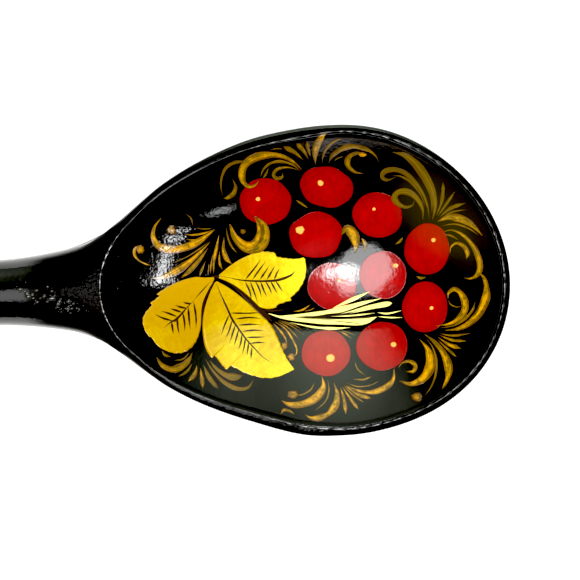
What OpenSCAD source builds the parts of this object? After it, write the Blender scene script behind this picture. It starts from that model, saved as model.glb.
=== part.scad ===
// Painted ladle spoon: one carved blank, with the paint and lacquer that stand on its surface.
// s runs along the spoon from the bowl's widest section towards the tip, y runs across, h is up from
// the rim. The whole spoon is then tipped back until the bowl and the handle's end both rest on z = 0.

/* [Bowl] */
// Width of the bowl at its widest section
bowl_width = 61.8; // [58:0.2:66]
// Distance from the widest section forward to the tip
bowl_reach = 34; // [32:0.5:37]
// Depth of the hollow below the rim
hollow_depth = 14.5; // [13:0.5:15.5]
// Width of the rim at the sides of the bowl
rim_width = 2; // [1.6:0.1:2.6]
// Distance from the widest section back to the hollow's rear lip
hollow_back = 46.6; // [44:0.2:48]

/* [Handle] */
// Length of the whole spoon
total_length = 200; // [180:5:220]
// Diameter of the handle just behind the neck
handle_diameter = 13.2; // [12:0.2:14.4]
// Length of the rounding at the handle's free end
end_rounding = 6; // [4:0.5:8]

/* [Paint] */
// Thickness of one layer of paint, with its lacquer
paint_thickness = 0.12; // [0.08:0.02:0.2]
// Diameter scale of the berries
berry_scale = 1; // [0.9:0.02:1]
// Diameter scale of the berries' dots
dot_scale = 1; // [0.8:0.05:1.3]
// Width scale of every scroll stroke
stroke_scale = 1; // [0.7:0.05:1.15]
// Angle of the ornament to the spoon's axis
ornament_turn = -1.6; // [-3:0.1:1]

/* [Hidden] */

// Lengths along the spoon, measured from the widest section
bowl_half = bowl_width / 2;
handle_half = handle_diameter / 2;
end_s = bowl_reach - total_length;
neck_s = -55;
handle_root_s = -67.6;
handle_mid_s = (handle_root_s + end_s) / 2;
width_scale = bowl_width / 61.8;
depth_scale = hollow_depth / 14.5;

// Half width of the outline: [s, half width], one station per change of curvature
side_stations = [
    [end_s, handle_half * 0.94], [end_s + 16, handle_half * 0.98], [handle_mid_s, handle_half * 0.86],
    [handle_root_s, handle_half], [neck_s, handle_half * 1.22], [-48.4, 10 * width_scale],
    [-43.6, 13.1 * width_scale], [-39.2, 16.6 * width_scale], [-34.4, 20.2 * width_scale],
    [-27.2, 24.2 * width_scale], [-17.6, 28 * width_scale], [-8, 30.4 * width_scale],
    [0, bowl_half], [8, 30.2 * width_scale]
];
// Sideways lean of the hand-cut centre line: [s, y]
lean_stations = [
    [end_s, -1.2], [handle_root_s, -0.65], [neck_s, -0.5], [-41.5, -0.2], [-27, 0.15],
    [-17.5, 0.3], [-8, -0.1], [0, 0], [11, 0], [25.5, -0.8], [bowl_reach, -1.3]
];
// Height of the widest line of each section: [s, h]
mid_stations = [
    [end_s, -6.2], [handle_mid_s, -6.2], [handle_root_s, -6], [neck_s, -5.5],
    [-44, -3.9], [-34, -2.8], [-24, -2.5], [8, -2.5]
];
// Rise from that line to the crest of the blank: [s, rise]
crown_stations = [
    [end_s, 5.4], [handle_mid_s, 5.2], [handle_root_s, 6.2], [neck_s, 6.2],
    [-48, 5], [-42, 3.6], [-34, 2.8], [-24, 2.5], [8, 2.5]
];
// Drop from that line to the underside: [s, drop]
belly_stations = [
    [end_s, 5.5], [handle_mid_s, 5.2], [handle_root_s, 6.3], [neck_s, 7.6], [-46, 9.6],
    [-36, 12.3 * depth_scale], [-24, 15.2 * depth_scale], [-12, 17 * depth_scale],
    [0, 17.5 * depth_scale], [12, 17 * depth_scale]
];

// Hollow: a blunt egg in plan whose wall steepens towards the rim
hollow_half = bowl_half - rim_width;
hollow_reach = bowl_reach - rim_width + 0.2;
hollow_taper = 0.18;
hollow_roundness = 2.1;
hollow_wall = 0.97;
lip_slope = 60;
lip_round = 0.45;

// Mesh of the blank
spokes = 96;
neck_spokes = 12;
neck_angle = 360 * neck_spokes / spokes / 2;
hollow_rows = [0.2, 0.4, 0.58, 0.73, 0.85, 0.93, 0.98, 1];
lip_rows = [0.35, 0.8];
shoulder_rows = [0.4, 0.75, 0.94, 1];
under_rows = [0.985, 0.94, 0.85, 0.7, 0.5, 0.26];
handle_rings = [
    -60, -67.6, -80, -94, -110, -126, -142,
    end_s + end_rounding, end_s + end_rounding * 0.5, end_s + end_rounding * 0.18, end_s + end_rounding * 0.03
];

// Seating: the spoon tips back until bowl and handle's end touch down, and z = 0 cuts the bowl's small flat
tip_drop = 2.5;
end_drop = 6.2;
end_belly = 5.53;
end_touch = 4;
flat_depth = 0.25;
handle_low = end_drop + end_belly;
bowl_low = tip_drop + 17.5 * depth_scale;
seat_tilt = atan((bowl_low - handle_low) / (-end_s - end_touch));
seat_lift = bowl_low - flat_depth;
seat_shift = ((bowl_reach + end_s) * cos(seat_tilt) + (tip_drop + end_drop) * sin(seat_tilt)) / 2;

// Heights of the paint layers over the wood: the first on the ground, the second over the first
first_layer = 0.06;
second_layer = first_layer + paint_thickness + 0.03;
third_layer = second_layer + paint_thickness + 0.03;
// Mesh of the paint: steps between two points of a stroke or a lobe's edge, and rows and columns
curve_steps = 2;
edge_steps = 3;
lobe_rows = 32;
half_columns = 3;
oval_start = 12;

// A stroke's width at its two ends, as a share of its greatest width
stroke_tip = 0.12;
// Side veins: greatest width, and where they are fullest and bent
side_vein_width = 0.32;
side_vein_fullest = 0.35;
side_vein_bend = 0.55;

// The painter's eye over the bowl, and the point of the rim's plane looked at
painter_eye = [-16.3, 17.9, 300];
rim_point = [-9.84, -1.42, 0];
layout_middle = [-9.6, -1.8];
layout_scale = 0.988;
sight_steps = 4;

function clamp(x, low, high) = min(high, max(low, x));
function mix(a, b, t) = a + (b - a) * t;

// Slope of a station table at one station, from its neighbours
function slope_at(table, i) =
    let (a = max(0, i - 1), b = min(len(table) - 1, i + 1))
    (table[b][1] - table[a][1]) / (table[b][0] - table[a][0]);

// Smooth value of a station table at x
function along(table, x) =
    let (
        last = len(table) - 2,
        i = max([for (k = [0:last]) if (k == 0 || x >= table[k][0]) k]),
        step = table[i + 1][0] - table[i][0],
        t = clamp((x - table[i][0]) / step, 0, 1),
        rise_a = slope_at(table, i) * step,
        rise_b = slope_at(table, i + 1) * step
    )
    table[i][1] * (2 * t * t * t - 3 * t * t + 1) + rise_a * (t * t * t - 2 * t * t + t)
    + table[i + 1][1] * (3 * t * t - 2 * t * t * t) + rise_b * (t * t * t - t * t);

function lean(s) = along(lean_stations, s);
function end_share(s) = let (t = clamp((end_s + end_rounding - s) / end_rounding, 0, 1)) sqrt(1 - t * t);
function side(s) =
    s > 0 ? bowl_half * sqrt(max(0, 1 - pow(s / bowl_reach, 2))) : along(side_stations, s) * end_share(s);
function crown(s) = along(crown_stations, s) * end_share(s);
function belly(s) = along(belly_stations, s) * end_share(s);

// 0 on the centre line and 1 on the outline
function edge_share(s, y) =
    s > 0 ? norm([s / bowl_reach, (y - lean(s)) / bowl_half]) : abs(y - lean(s)) / max(side(s), 0.01);
function to_bowl(s) = let (t = clamp((s + 52) / 20, 0, 1)) t * t * (3 - 2 * t);
function crown_power(s) = mix(2, 12, to_bowl(s));
function belly_power(s) = mix(0.5, 0.6, to_bowl(s));

// Top and underside of the blank before it is hollowed
function blank_top(s, y) =
    let (power = crown_power(s), share = min(1, edge_share(s, y)))
    along(mid_stations, s) + crown(s) * pow(1 - pow(share, power), 1 / power);
function blank_base(s, y) =
    let (share = min(1, edge_share(s, y)))
    along(mid_stations, s) - belly(s) * pow(1 - share * share, belly_power(s));

// 0 at the middle of the hollow and 1 on its edge
function hollow_share(s, y) =
    let (x = s > 0 ? s / hollow_reach : s / hollow_back, taper = s > 0 ? 1 : 1 - hollow_taper * x)
    sqrt(x * x + taper * pow((y - lean(s)) / hollow_half, 2));
function hollow_h(s, y) =
    let (u = hollow_share(s, y))
    u < 1 ? -hollow_depth * pow(1 - pow(u, hollow_roundness), hollow_wall) : lip_slope * (u - 1);
function soft_min(a, b, k) = let (d = max(0, k - abs(a - b)) / k) min(a, b) - d * d * k / 4;
function top_h(s, y) = soft_min(blank_top(s, y), hollow_h(s, y), lip_round);

// Points in plan, one per spoke: on the hollow's edge, and on the outline or across the neck
function hollow_edge(t) =
    let (c = cos(t), s = c > 0 ? hollow_reach * c : hollow_back * c)
    [s, lean(s) + hollow_half * sin(t) / sqrt(c > 0 ? 1 : 1 - hollow_taper * c)];
function outline_edge(t) =
    let (c = cos(t), turn = 180 - t, s = c > 0 ? bowl_reach * c : -neck_s * c / cos(neck_angle))
    abs(turn) < neck_angle
        ? [neck_s, lean(neck_s) + side(neck_s) * sin(90 * turn / neck_angle)]
        : [max(s, neck_s), lean(max(s, neck_s)) + side(max(s, neck_s)) * sign(sin(t))];

function toward(a, b, d) = a + (b - a) * min(1, d / norm(b - a));
function top_row(t, row) =
    let (inner = hollow_edge(t), outer = outline_edge(t), lip = toward(inner, outer, lip_rows[1]))
    row < len(hollow_rows) ? inner * hollow_rows[row]
    : row < len(hollow_rows) + len(lip_rows) ? toward(inner, outer, lip_rows[row - len(hollow_rows)])
    : mix(lip, outer, shoulder_rows[row - len(hollow_rows) - len(lip_rows)]);

top_count = len(hollow_rows) + len(lip_rows) + len(shoulder_rows);
first_neck = (spokes - neck_spokes) / 2;
function on_top(p) = [p[0], p[1], top_h(p[0], p[1])];
function on_base(p) = [p[0], p[1], blank_base(p[0], p[1])];
function spoke_angle(j) = 360 * j / spokes;

top_points = [
    on_top([0, lean(0)]),
    for (row = [0:top_count - 1]) for (j = [0:spokes - 1]) on_top(top_row(spoke_angle(j), row))
];
under_points = [
    on_base([0, lean(0)]),
    for (share = under_rows) for (j = [0:spokes - 1]) on_base(outline_edge(spoke_angle(j)) * share)
];
// The lower half of the neck's ring, between its two ends on the outline
neck_points = [for (k = [1:neck_spokes - 1]) on_base(outline_edge(spoke_angle(first_neck + k)))];
ring_size = 2 * neck_spokes;
function ring_point(s, k) =
    let (a = 180 * k / neck_spokes, y = lean(s) + side(s) * cos(a))
    k <= neck_spokes
        ? [s, y, along(mid_stations, s) + crown(s) * sin(a)]
        : [s, y, along(mid_stations, s) + belly(s) * sin(a)];
handle_points = [for (s = handle_rings) for (k = [0:ring_size - 1]) ring_point(s, k)];
end_point = [end_s, lean(end_s), along(mid_stations, end_s)];

under_start = len(top_points);
neck_start = under_start + len(under_points);
handle_start = neck_start + len(neck_points);
end_index = handle_start + len(handle_points);

function top_at(row, j) = 1 + row * spokes + (j + spokes) % spokes;
function under_at(row, j) = under_start + 1 + row * spokes + (j + spokes) % spokes;
// The start of the underside: the outline itself, or the neck's lower half
function brink_at(j) =
    let (k = j - first_neck)
    k > 0 && k < neck_spokes ? neck_start + k - 1 : top_at(top_count - 1, j);
function neck_at(k) =
    let (m = k % ring_size)
    m <= neck_spokes ? top_at(top_count - 1, first_neck + m) : neck_start + ring_size - m - 1;
function ring_at(row, k) =
    row < 0 ? neck_at(k) : handle_start + row * ring_size + k % ring_size;
function quad(a, b, c, d) = [[a, b, c], [a, c, d]];

blank_faces = [
    for (j = [0:spokes - 1]) [0, top_at(0, j + 1), top_at(0, j)],
    for (row = [0:top_count - 2]) for (j = [0:spokes - 1])
        each quad(top_at(row, j), top_at(row, j + 1), top_at(row + 1, j + 1), top_at(row + 1, j)),
    for (j = [0:spokes - 1])
        each quad(brink_at(j), brink_at((j + 1) % spokes), under_at(0, j + 1), under_at(0, j)),
    for (row = [0:len(under_rows) - 2]) for (j = [0:spokes - 1])
        each quad(under_at(row, j), under_at(row, j + 1), under_at(row + 1, j + 1), under_at(row + 1, j)),
    for (j = [0:spokes - 1])
        [under_start, under_at(len(under_rows) - 1, j), under_at(len(under_rows) - 1, j + 1)],
    for (row = [-1:len(handle_rings) - 2]) for (k = [0:ring_size - 1])
        each quad(ring_at(row, k), ring_at(row, k + 1), ring_at(row + 1, k + 1), ring_at(row + 1, k)),
    for (k = [0:ring_size - 1])
        [ring_at(len(handle_rings) - 1, k), ring_at(len(handle_rings) - 1, k + 1), end_index]
];

// Tips the spoon back onto its seat, with the origin under the middle of its length
module seat() {
    translate([-seat_shift, 0, seat_lift])
        rotate([0, -seat_tilt, 0])
            children();
}

// A film of paint over the wood: rows of plan points, each from the left edge to the right
module film(rows, base, thickness, closed = false) {
    count = len(rows);
    across = len(rows[0]);
    size = count * across;
    low = [for (row = rows) for (p = row) [p[0], p[1], top_h(p[0], p[1]) + base]];
    high = [for (p = low) p + [0, 0, thickness]];
    last = closed ? count - 1 : count - 2;
    function at(i, j) = (i % count) * across + j;
    seat()
        polyhedron(
            points = concat(low, high),
            faces = [
                for (i = [0:last]) for (j = [0:across - 2])
                    each quad(
                        size + at(i, j), size + at(i + 1, j),
                        size + at(i + 1, j + 1), size + at(i, j + 1)
                    ),
                for (i = [0:last]) for (j = [0:across - 2])
                    each quad(at(i, j + 1), at(i + 1, j + 1), at(i + 1, j), at(i, j)),
                for (i = [0:last]) each quad(at(i, 0), at(i + 1, 0), size + at(i + 1, 0), size + at(i, 0)),
                for (i = [0:last])
                    each quad(
                        at(i + 1, across - 1), at(i, across - 1),
                        size + at(i, across - 1), size + at(i + 1, across - 1)
                    ),
                if (!closed) for (j = [0:across - 2])
                    each quad(at(0, j + 1), at(0, j), size + at(0, j), size + at(0, j + 1)),
                if (!closed) for (j = [0:across - 2])
                    each quad(
                        at(count - 1, j), at(count - 1, j + 1),
                        size + at(count - 1, j + 1), size + at(count - 1, j)
                    )
            ]
        );
}

// The ornament is laid out flat, square to a line of sight through a point of the rim's plane, and
// every layout point is carried down that line from the painter's eye to the wood
sight = (painter_eye - rim_point) / norm(painter_eye - rim_point);
layout_across = cross([-sin(ornament_turn), cos(ornament_turn), 0], sight);
layout_right = layout_across / norm(layout_across);
layout_up = cross(sight, layout_right);
function on_layout(p) =
    let (right = p[0] - layout_middle[0], up = p[1] - layout_middle[1])
    rim_point + layout_scale * (right * layout_right + up * layout_up);
function sighted(flat, reach, steps) =
    let (
        seen = painter_eye + (flat - painter_eye) * reach,
        point = [seen[0], seen[1] * width_scale]
    )
    steps == 0
        ? point
        : sighted(
            flat, (painter_eye[2] - top_h(point[0], point[1])) / (painter_eye[2] - flat[2]), steps - 1
        );
function on_bowl(p) = sighted(on_layout(p), 1, sight_steps);

// Smooth curve through a list of points
function curve_point(points, i, t) =
    let (
        n = len(points) - 1, a = points[i], b = points[i + 1],
        before = i == 0 ? b - a : (b - points[i - 1]) / 2,
        after = i + 1 == n ? b - a : (points[i + 2] - a) / 2
    )
    a * (2 * t * t * t - 3 * t * t + 1) + before * (t * t * t - 2 * t * t + t)
    + b * (3 * t * t - 2 * t * t * t) + after * (t * t * t - t * t);
function curve(points, steps = curve_steps) = [
    for (i = [0:len(points) - 2]) for (k = [0:steps - 1]) curve_point(points, i, k / steps),
    points[len(points) - 1]
];

// Width of a brush stroke along its length: it swells to its fullest at `fullest`
function swell(t, fullest) =
    mix(stroke_tip, 1, sin(t < fullest ? 90 * t / fullest : 90 * (1 - t) / (1 - fullest)));

// One stroke of the brush: [points, greatest width, where it is fullest]
module brush_stroke(mark, base) {
    path = [for (p = curve(mark[0])) on_bowl(p)];
    last = len(path) - 1;
    rows = [
        for (i = [0:last])
            let (
                ahead = path[min(last, i + 1)] - path[max(0, i - 1)],
                across = [-ahead[1], ahead[0]] / norm(ahead),
                half = mark[1] * stroke_scale * swell(i / last, mark[2]) / 2
            )
            [path[i] + across * half, path[i] - across * half]
    ];
    film(rows, base, paint_thickness);
}

module brush_strokes(marks, base) {
    for (mark = marks) brush_stroke(mark, base);
}

// An oval touch of paint: its middle and its two half sizes
module oval(middle, half_x, half_y, base, thickness, slices = 12, across = 4) {
    rows = [
        for (i = [0:slices])
            let (a = mix(oval_start, 180 - oval_start, i / slices), half = half_y * sin(a))
            [
                for (j = [0:across])
                    on_bowl(middle + [-half_x * cos(a), half * (1 - 2 * j / across)])
            ]
    ];
    film(rows, base, thickness);
}

// A smooth curve with its points at even distances
function resample(points, count) =
    let (
        path = curve(points, edge_steps),
        last = len(path) - 1,
        steps = [for (i = [1:last]) norm(path[i] - path[i - 1])],
        reach = [for (i = 0, far = 0; i <= last; far = far + (i < last ? steps[i] : 0), i = i + 1) far],
        by_x = [for (i = [0:last]) [reach[i], path[i][0]]],
        by_y = [for (i = [0:last]) [reach[i], path[i][1]]]
    )
    [for (k = [0:count]) let (far = reach[last] * k / count) [lookup(far, by_x), lookup(far, by_y)]];

// One lobe of the leaf, from its left edge over its vein to its right edge
module lobe(left, vein, right) {
    left_curve = resample(left, lobe_rows);
    vein_curve = resample(vein, lobe_rows);
    right_curve = resample(right, lobe_rows);
    rows = [
        for (i = [0:lobe_rows])
            [
                for (j = [0:half_columns - 1])
                    on_bowl(mix(left_curve[i], vein_curve[i], j / half_columns)),
                for (j = [0:half_columns])
                    on_bowl(mix(vein_curve[i], right_curve[i], j / half_columns))
            ]
    ];
    film(rows, first_layer, paint_thickness);
}

// Side veins along a stretch of a main vein: starts, first and last reach, and how many
module side_veins(from, to, first_reach, last_reach, count) {
    for (k = [0:count - 1])
        let (t = k / (count - 1), start = mix(from, to, t), reach = mix(first_reach, last_reach, t))
        brush_stroke(
            [[start, start + reach * side_vein_bend, start + reach], side_vein_width, side_vein_fullest],
            second_layer
        );
}

// Leaf: the two edges and the main vein of each lobe, from the stalk to the tip
left_edge_left = [
    [-24.7, 0.5], [-25.7, -1.6], [-26.7, -4], [-27.3, -6.8], [-27.5, -9.4], [-28.2, -11.6],
    [-29.2, -13.1], [-30.6, -14.1], [-32.2, -14.4], [-33.8, -14.1], [-35.4, -13.4], [-36.4, -12.6]
];
left_vein = [[-24.8, 0.6], [-27.6, -2.3], [-30.6, -5.6], [-33.4, -8.2], [-36, -10.2], [-37.4, -11.2]];
left_edge_right = [
    [-24.8, 0.8], [-26.8, 0.7], [-28.6, 0.8], [-31, 0.2], [-33.6, -0.9], [-36.2, -2.6], [-35.6, -2.9],
    [-37.4, -4.4], [-37.2, -4.9], [-38.5, -6.4], [-39, -8], [-38.6, -9.8], [-37.6, -11.4]
];
middle_edge_left = [
    [-24.3, 0], [-22.4, -1], [-20.2, -2.5], [-18, -4.3], [-16, -6.2], [-14.2, -7.9], [-13, -9.4],
    [-12, -11.6], [-11, -14], [-10, -15.9], [-8.8, -17.5]
];
middle_vein = [
    [-24.4, -0.2], [-22.6, -4.6], [-20.4, -9], [-17.6, -12.8], [-13.8, -16.2], [-11, -17.4],
    [-8.8, -17.6]
];
middle_edge_right = [
    [-24.6, -0.2], [-25.8, -2.8], [-26.7, -5.6], [-27.1, -8.6], [-26.9, -11.6], [-26.3, -13.9],
    [-25.2, -15.4], [-24.9, -14.6], [-23.6, -16.2], [-22.2, -17.7], [-22, -16.7], [-20.3, -17.4],
    [-18, -18.5], [-15, -19.3], [-12.4, -19.2], [-10.2, -18.4], [-8.8, -17.7]
];
right_edge_left = [
    [-23.8, 1.2], [-21.8, 2.9], [-20, 4.1], [-18, 5.1], [-16, 5.8], [-14, 5.8], [-12.5, 5.5],
    [-12.4, 4.9], [-10.4, 4.5], [-8.4, 4.4], [-6.9, 4.7]
];
right_vein = [[-23.8, 0.9], [-20.2, 0.3], [-16.4, 0], [-12.4, 0.2], [-8.6, 1.9], [-6.6, 4.4]];
right_edge_right = [
    [-23.8, 0.6], [-21.6, -0.6], [-19.6, -2.2], [-17.8, -3.8], [-16.2, -5], [-14.2, -5.6],
    [-12.4, -5.3], [-12.2, -4.8], [-10.6, -4.2], [-9.4, -3.8], [-9.4, -3.2], [-7.8, -1.6], [-6.7, 0.6],
    [-6.4, 2.6], [-6.6, 4.2]
];
left_vein_line = [[-28.8, -3.9], [-30.2, -5.3], [-31.4, -6.7], [-32.5, -7.8], [-33.4, -8.2], [-34.8, -9.4]];
left_vein_hair = [[-25.6, -0.2], [-27.4, -2.2], [-29, -4]];
middle_vein_line = [
    [-24.4, -0.4], [-23.4, -2.8], [-22.2, -5.4], [-21.2, -7.6], [-20, -9.4], [-18.4, -11.6], [-16.6, -13.6],
    [-14.9, -15.3], [-13.1, -16.4]
];
right_vein_line = [
    [-23.6, 1], [-21.5, 0.6], [-19.5, 0.2], [-17, 0], [-14, 0], [-12, 0.2], [-10.4, 0.7],
    [-9.2, 1.3], [-8.5, 2.1]
];
stalk = [
    [-24.4, 0.8], [-21.8, -0.4], [-20, -1.7], [-18, -3.5], [-16.2, -5.3], [-14.6, -6.8], [-13.2, -8]
];
stalk_branch = [[-15.6, -5.8], [-13.4, -6], [-10.4, -5.7]];
stalk_gap = [[-24.6, 0.4], [-25.7, -1.7], [-26.8, -4.2], [-27.2, -6.6], [-27.3, -9.4]];
stalk_node = [[-25.1, 1], [-24.3, 0.9], [-23.5, 1]];

// Berries: [middle, half size along, half size across, dot's middle, dot's radius]
berries = [
    [[-14.5, 15.9], 5.2, 4.6, [-16, 16.4], 0.45], [[-2.3, 18.8], 5.3, 4.1, [-3.5, 19.6], 0.6],
    [[-4.4, 9.2], 5.3, 4.6, [-7.6, 10.2], 0.85], [[7.9, 13.2], 5, 4.5, [7.2, 14.4], 0.35],
    [[17.8, 6.4], 4.5, 5.1, [19.1, 8.2], 0.45], [[-1.2, -1], 4.9, 4.7, [0.3, 0.1], 0.4],
    [[9, 1.2], 4.7, 4.8, [11.5, 3.1], 0.5], [[17.4, -5.2], 4.5, 5.1, [18.7, -5.4], 0.4],
    [[-2.4, -14.4], 4.9, 4.6, [-1.5, -15.4], 0.85], [[8.8, -13], 5.2, 4.8, [11.1, -12.7], 0.55]
];

// Scroll strokes: [points, greatest width, where it is fullest]
left_scroll = [
    [
        [[-24.7, 10.3], [-26.3, 9], [-28.6, 7.5], [-31.4, 6.5], [-34, 6.3], [-36, 7.1], [-37, 8.8],
         [-36.7, 10.8], [-35.4, 12.6]],
        1.7, 0.4
    ],
    [[[-25, 10.2], [-27, 9.5], [-29.2, 9.2], [-30.6, 9.4]], 0.45, 0.4],
    [[[-25.2, 10.5], [-26.8, 10.4], [-28.4, 10.6]], 0.25, 0.5],
    [[[-27.4, 8.5], [-29, 8.2], [-30.4, 8.3]], 0.3, 0.5],
    [[[-30.4, 13.4], [-29.4, 12.5], [-29, 11.1]], 0.3, 0.6],
    [[[-25.6, 7.8], [-27.5, 5.8], [-30, 3.6], [-32.5, 1.9], [-35, 0.8], [-37.3, 0.5]], 1.4, 0.62],
    [[[-26, 6.6], [-27.6, 4.4], [-29.6, 2.1], [-31.4, 0.6]], 1, 0.65],
    [[[-25.8, 7.9], [-28, 6.2], [-30.5, 4.7], [-33.4, 3.5]], 0.3, 0.4],
    [[[-26.2, 6.8], [-28.6, 4.8], [-31, 3.6]], 0.25, 0.4],
    [[[-26.5, 4], [-27.2, 2.3], [-27.7, 0.9]], 0.5, 0.6],
    [[[-25.8, 3.6], [-25.9, 2.2], [-26, 1]], 0.25, 0.5],
    [[[-23.8, 9.2], [-24.3, 6.6], [-24.8, 4], [-24.9, 1.5]], 0.65, 0.5],
    [[[-25, 5.6], [-25.4, 3.2], [-25.5, 1.4]], 0.25, 0.5],
    [[[-23.7, 6], [-23.7, 3.8], [-23.1, 2.2]], 0.5, 0.6],
    [[[-22.8, 8.8], [-22.9, 6.4], [-22.3, 4.5], [-21.2, 3.4]], 1, 0.62],
    [[[-22.4, 10.8], [-22, 8.6], [-21.2, 6.8], [-20.1, 5.5]], 0.45, 0.5],
    [
        [[-21.7, 11.4], [-20.7, 8.6], [-18.4, 6.7], [-16.2, 6.9], [-14.8, 8.8], [-15, 11.2],
         [-16.6, 13]],
        2.5, 0.58
    ]
];
top_left_scroll = [
    [
        [[-7.2, 22.2], [-8.6, 23.6], [-10.8, 24.8], [-13.4, 25.2], [-16.2, 24.8], [-18.3, 23.6],
         [-19.2, 21.9], [-19, 20], [-17.9, 18.9], [-16.6, 19.2], [-15.8, 20.1]],
        1.55, 0.48
    ],
    [[[-7.4, 21.9], [-9, 23.2], [-11.4, 23.9], [-13.6, 23.5], [-15, 22.2], [-15.5, 20.8]], 0.6, 0.55],
    [[[-13.9, 22.7], [-14.4, 21.4], [-15.1, 20.5]], 0.5, 0.6],
    [
        [[-7.8, 22.1], [-9.2, 22.6], [-10.8, 22.7], [-12.3, 22.2], [-12.9, 21.2], [-12.2, 20.5],
         [-11.2, 20.8], [-11.1, 21.7]],
        0.75, 0.7
    ],
    [[[-18.4, 23.9], [-20.6, 23.7], [-22.4, 22.6], [-23.3, 20.6], [-23.4, 18.6], [-23, 17]], 0.7, 0.2],
    [[[-21.1, 20.4], [-20.5, 18.9], [-20.9, 17.5], [-22, 16.7], [-22.9, 16.5]], 1, 0.55],
    [[[-6.9, 24.2], [-8.8, 25.8], [-10.9, 26.9]], 1, 0.8],
    [[[-5.9, 24.4], [-7, 26.2], [-8.3, 27.5]], 1, 0.8],
    [[[-5.5, 24.8], [-6, 26.6], [-6.2, 27.9]], 0.8, 0.7],
    [[[-11, 26.4], [-12.4, 26.5], [-13.6, 26.2]], 0.25, 0.4]
];
top_scroll = [
    [[[-4.5, 23.3], [-4.6, 25.4], [-4.2, 27.2], [-3.2, 28.8], [-2.3, 29.6]], 1.5, 0.5],
    [[[-3.2, 23.5], [-2.9, 25.4], [-1.9, 27], [-0.4, 28.1], [0.9, 28.4]], 0.6, 0.5],
    [
        [[-1.9, 23.6], [-1.2, 25], [0.4, 26.2], [2.2, 26.9], [4, 26.8], [6, 26.2], [7.4, 25.2],
         [8.2, 23.8]],
        1.1, 0.3
    ],
    [[[-0.8, 24], [0, 24.6], [1.1, 24.9]], 0.3, 0.5],
    [
        [[5.1, 21.5], [3.4, 21.8], [2.1, 22.9], [1.9, 24.2], [2.7, 25.2], [4.2, 25.6], [5.4, 25.2]],
        1.1, 0.5
    ]
];
upper_right_scroll = [
    [
        [[18.9, 12.2], [19.4, 14.8], [18.9, 17.6], [17.6, 20.5], [15.8, 23.1], [13.4, 25.1],
         [10.9, 25.8]],
        1.8, 0.58
    ],
    [
        [[18.3, 12.3], [17.9, 15], [16.9, 17.6], [15.2, 20], [13.2, 21.7], [11, 22.3], [9.2, 21.8],
         [8.9, 20.7], [10, 20.2], [11.5, 20.8]],
        1.05, 0.58
    ],
    [[[17.6, 14.6], [16.5, 17.3], [14.6, 19.7], [12.6, 20.9], [10.9, 21.1]], 0.4, 0.5],
    [
        [[17, 12.2], [16.9, 14.4], [15.8, 16.5], [14, 17.8], [12.2, 17.8], [11.3, 16.8], [11.9, 15.6],
         [13.4, 14.8], [14.8, 15.1], [15.3, 16]],
        1.3, 0.4
    ],
    [[[19.6, 13], [20.6, 15.4], [21, 17.8], [21, 19.8]], 0.75, 0.65],
    [[[19.9, 12.9], [21.6, 15.3], [23.3, 17.8]], 0.6, 0.65],
    [[[20.2, 12.7], [22.6, 14.6], [25.5, 15.6]], 0.75, 0.65],
    [[[20.6, 12.6], [22.8, 13.8], [25.8, 14.3]], 0.35, 0.5],
    [[[18.8, 13.4], [18.7, 16.2], [17.7, 19.2]], 0.3, 0.5]
];
right_scroll = [
    [[[19.8, 11.9], [22.2, 12.8], [24.6, 12.4], [26.8, 11.2], [28.9, 9.1]], 1.6, 0.42],
    [[[20.4, 11], [23.4, 11.4], [26, 10.6], [28.1, 9.2]], 0.4, 0.5],
    [
        [[20.9, 9.8], [22.8, 10.2], [25, 9.2], [27, 7], [28.1, 4.6], [28.4, 2.6], [27.8, 1.2],
         [26.6, 0.5], [25.2, 0.6]],
        1.1, 0.6
    ],
    [[[21.4, 9.3], [22.6, 9.1], [24.1, 8.2]], 0.35, 0.5],
    [[[22.4, 5.3], [22.6, 6.8], [23.8, 7.6], [25.2, 6.9], [25.9, 5.6], [25.7, 4.4]], 0.9, 0.8],
    [
        [[27.9, 1.9], [29.2, 0.6], [29.7, -1.4], [29.5, -3.6], [28.5, -6], [26.7, -8.1], [24.2, -9.5],
         [21.4, -9.9]],
        1.7, 0.52
    ],
    [
        [[22, -3.6], [22.1, -2.4], [23.3, -1.6], [24.6, -2.5], [25.4, -4.3], [25.2, -6.1], [24.1, -7.6],
         [22.2, -8.6], [19.6, -9]],
        1.5, 0.52
    ],
    [[[22, -3.7], [22.6, -4.7], [23.8, -5.2], [24.7, -5]], 0.3, 0.5],
    [[[27.5, -4], [26.9, -5.8], [25.4, -7.6], [23.2, -8.9], [20.4, -9.4]], 0.55, 0.4]
];
lower_right_scroll = [
    [[[20.3, -10.5], [23, -10.9], [26.5, -10.5]], 0.5, 0.6],
    [[[20.2, -10.8], [22.8, -11.8], [25.7, -12]], 0.65, 0.7],
    [[[20, -11.2], [22.2, -12.7], [24.6, -13.5]], 0.85, 0.75],
    [[[19.9, -11.7], [21.8, -13.5], [23.7, -15.2]], 0.6, 0.75],
    [
        [[16.3, -11.6], [17.9, -13.6], [18.5, -16], [18, -18.2], [16.6, -19.8], [14.5, -20.6],
         [12.3, -20]],
        2, 0.48
    ],
    [[[17.6, -11.4], [19, -13.4], [19.7, -16], [19.5, -18.8], [18.6, -21.2], [17.5, -22.8]], 0.5, 0.5],
    [
        [[17.3, -10.6], [19.4, -12.3], [21.2, -14.6], [22.1, -17.2], [21.9, -19.5], [20.8, -21.7]],
        1.6, 0.6
    ],
    [[[12, -17.4], [13, -16.3], [14.5, -16.1], [15.5, -17], [15, -18.1], [13.6, -18.1]], 0.9, 0.7]
];
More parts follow.
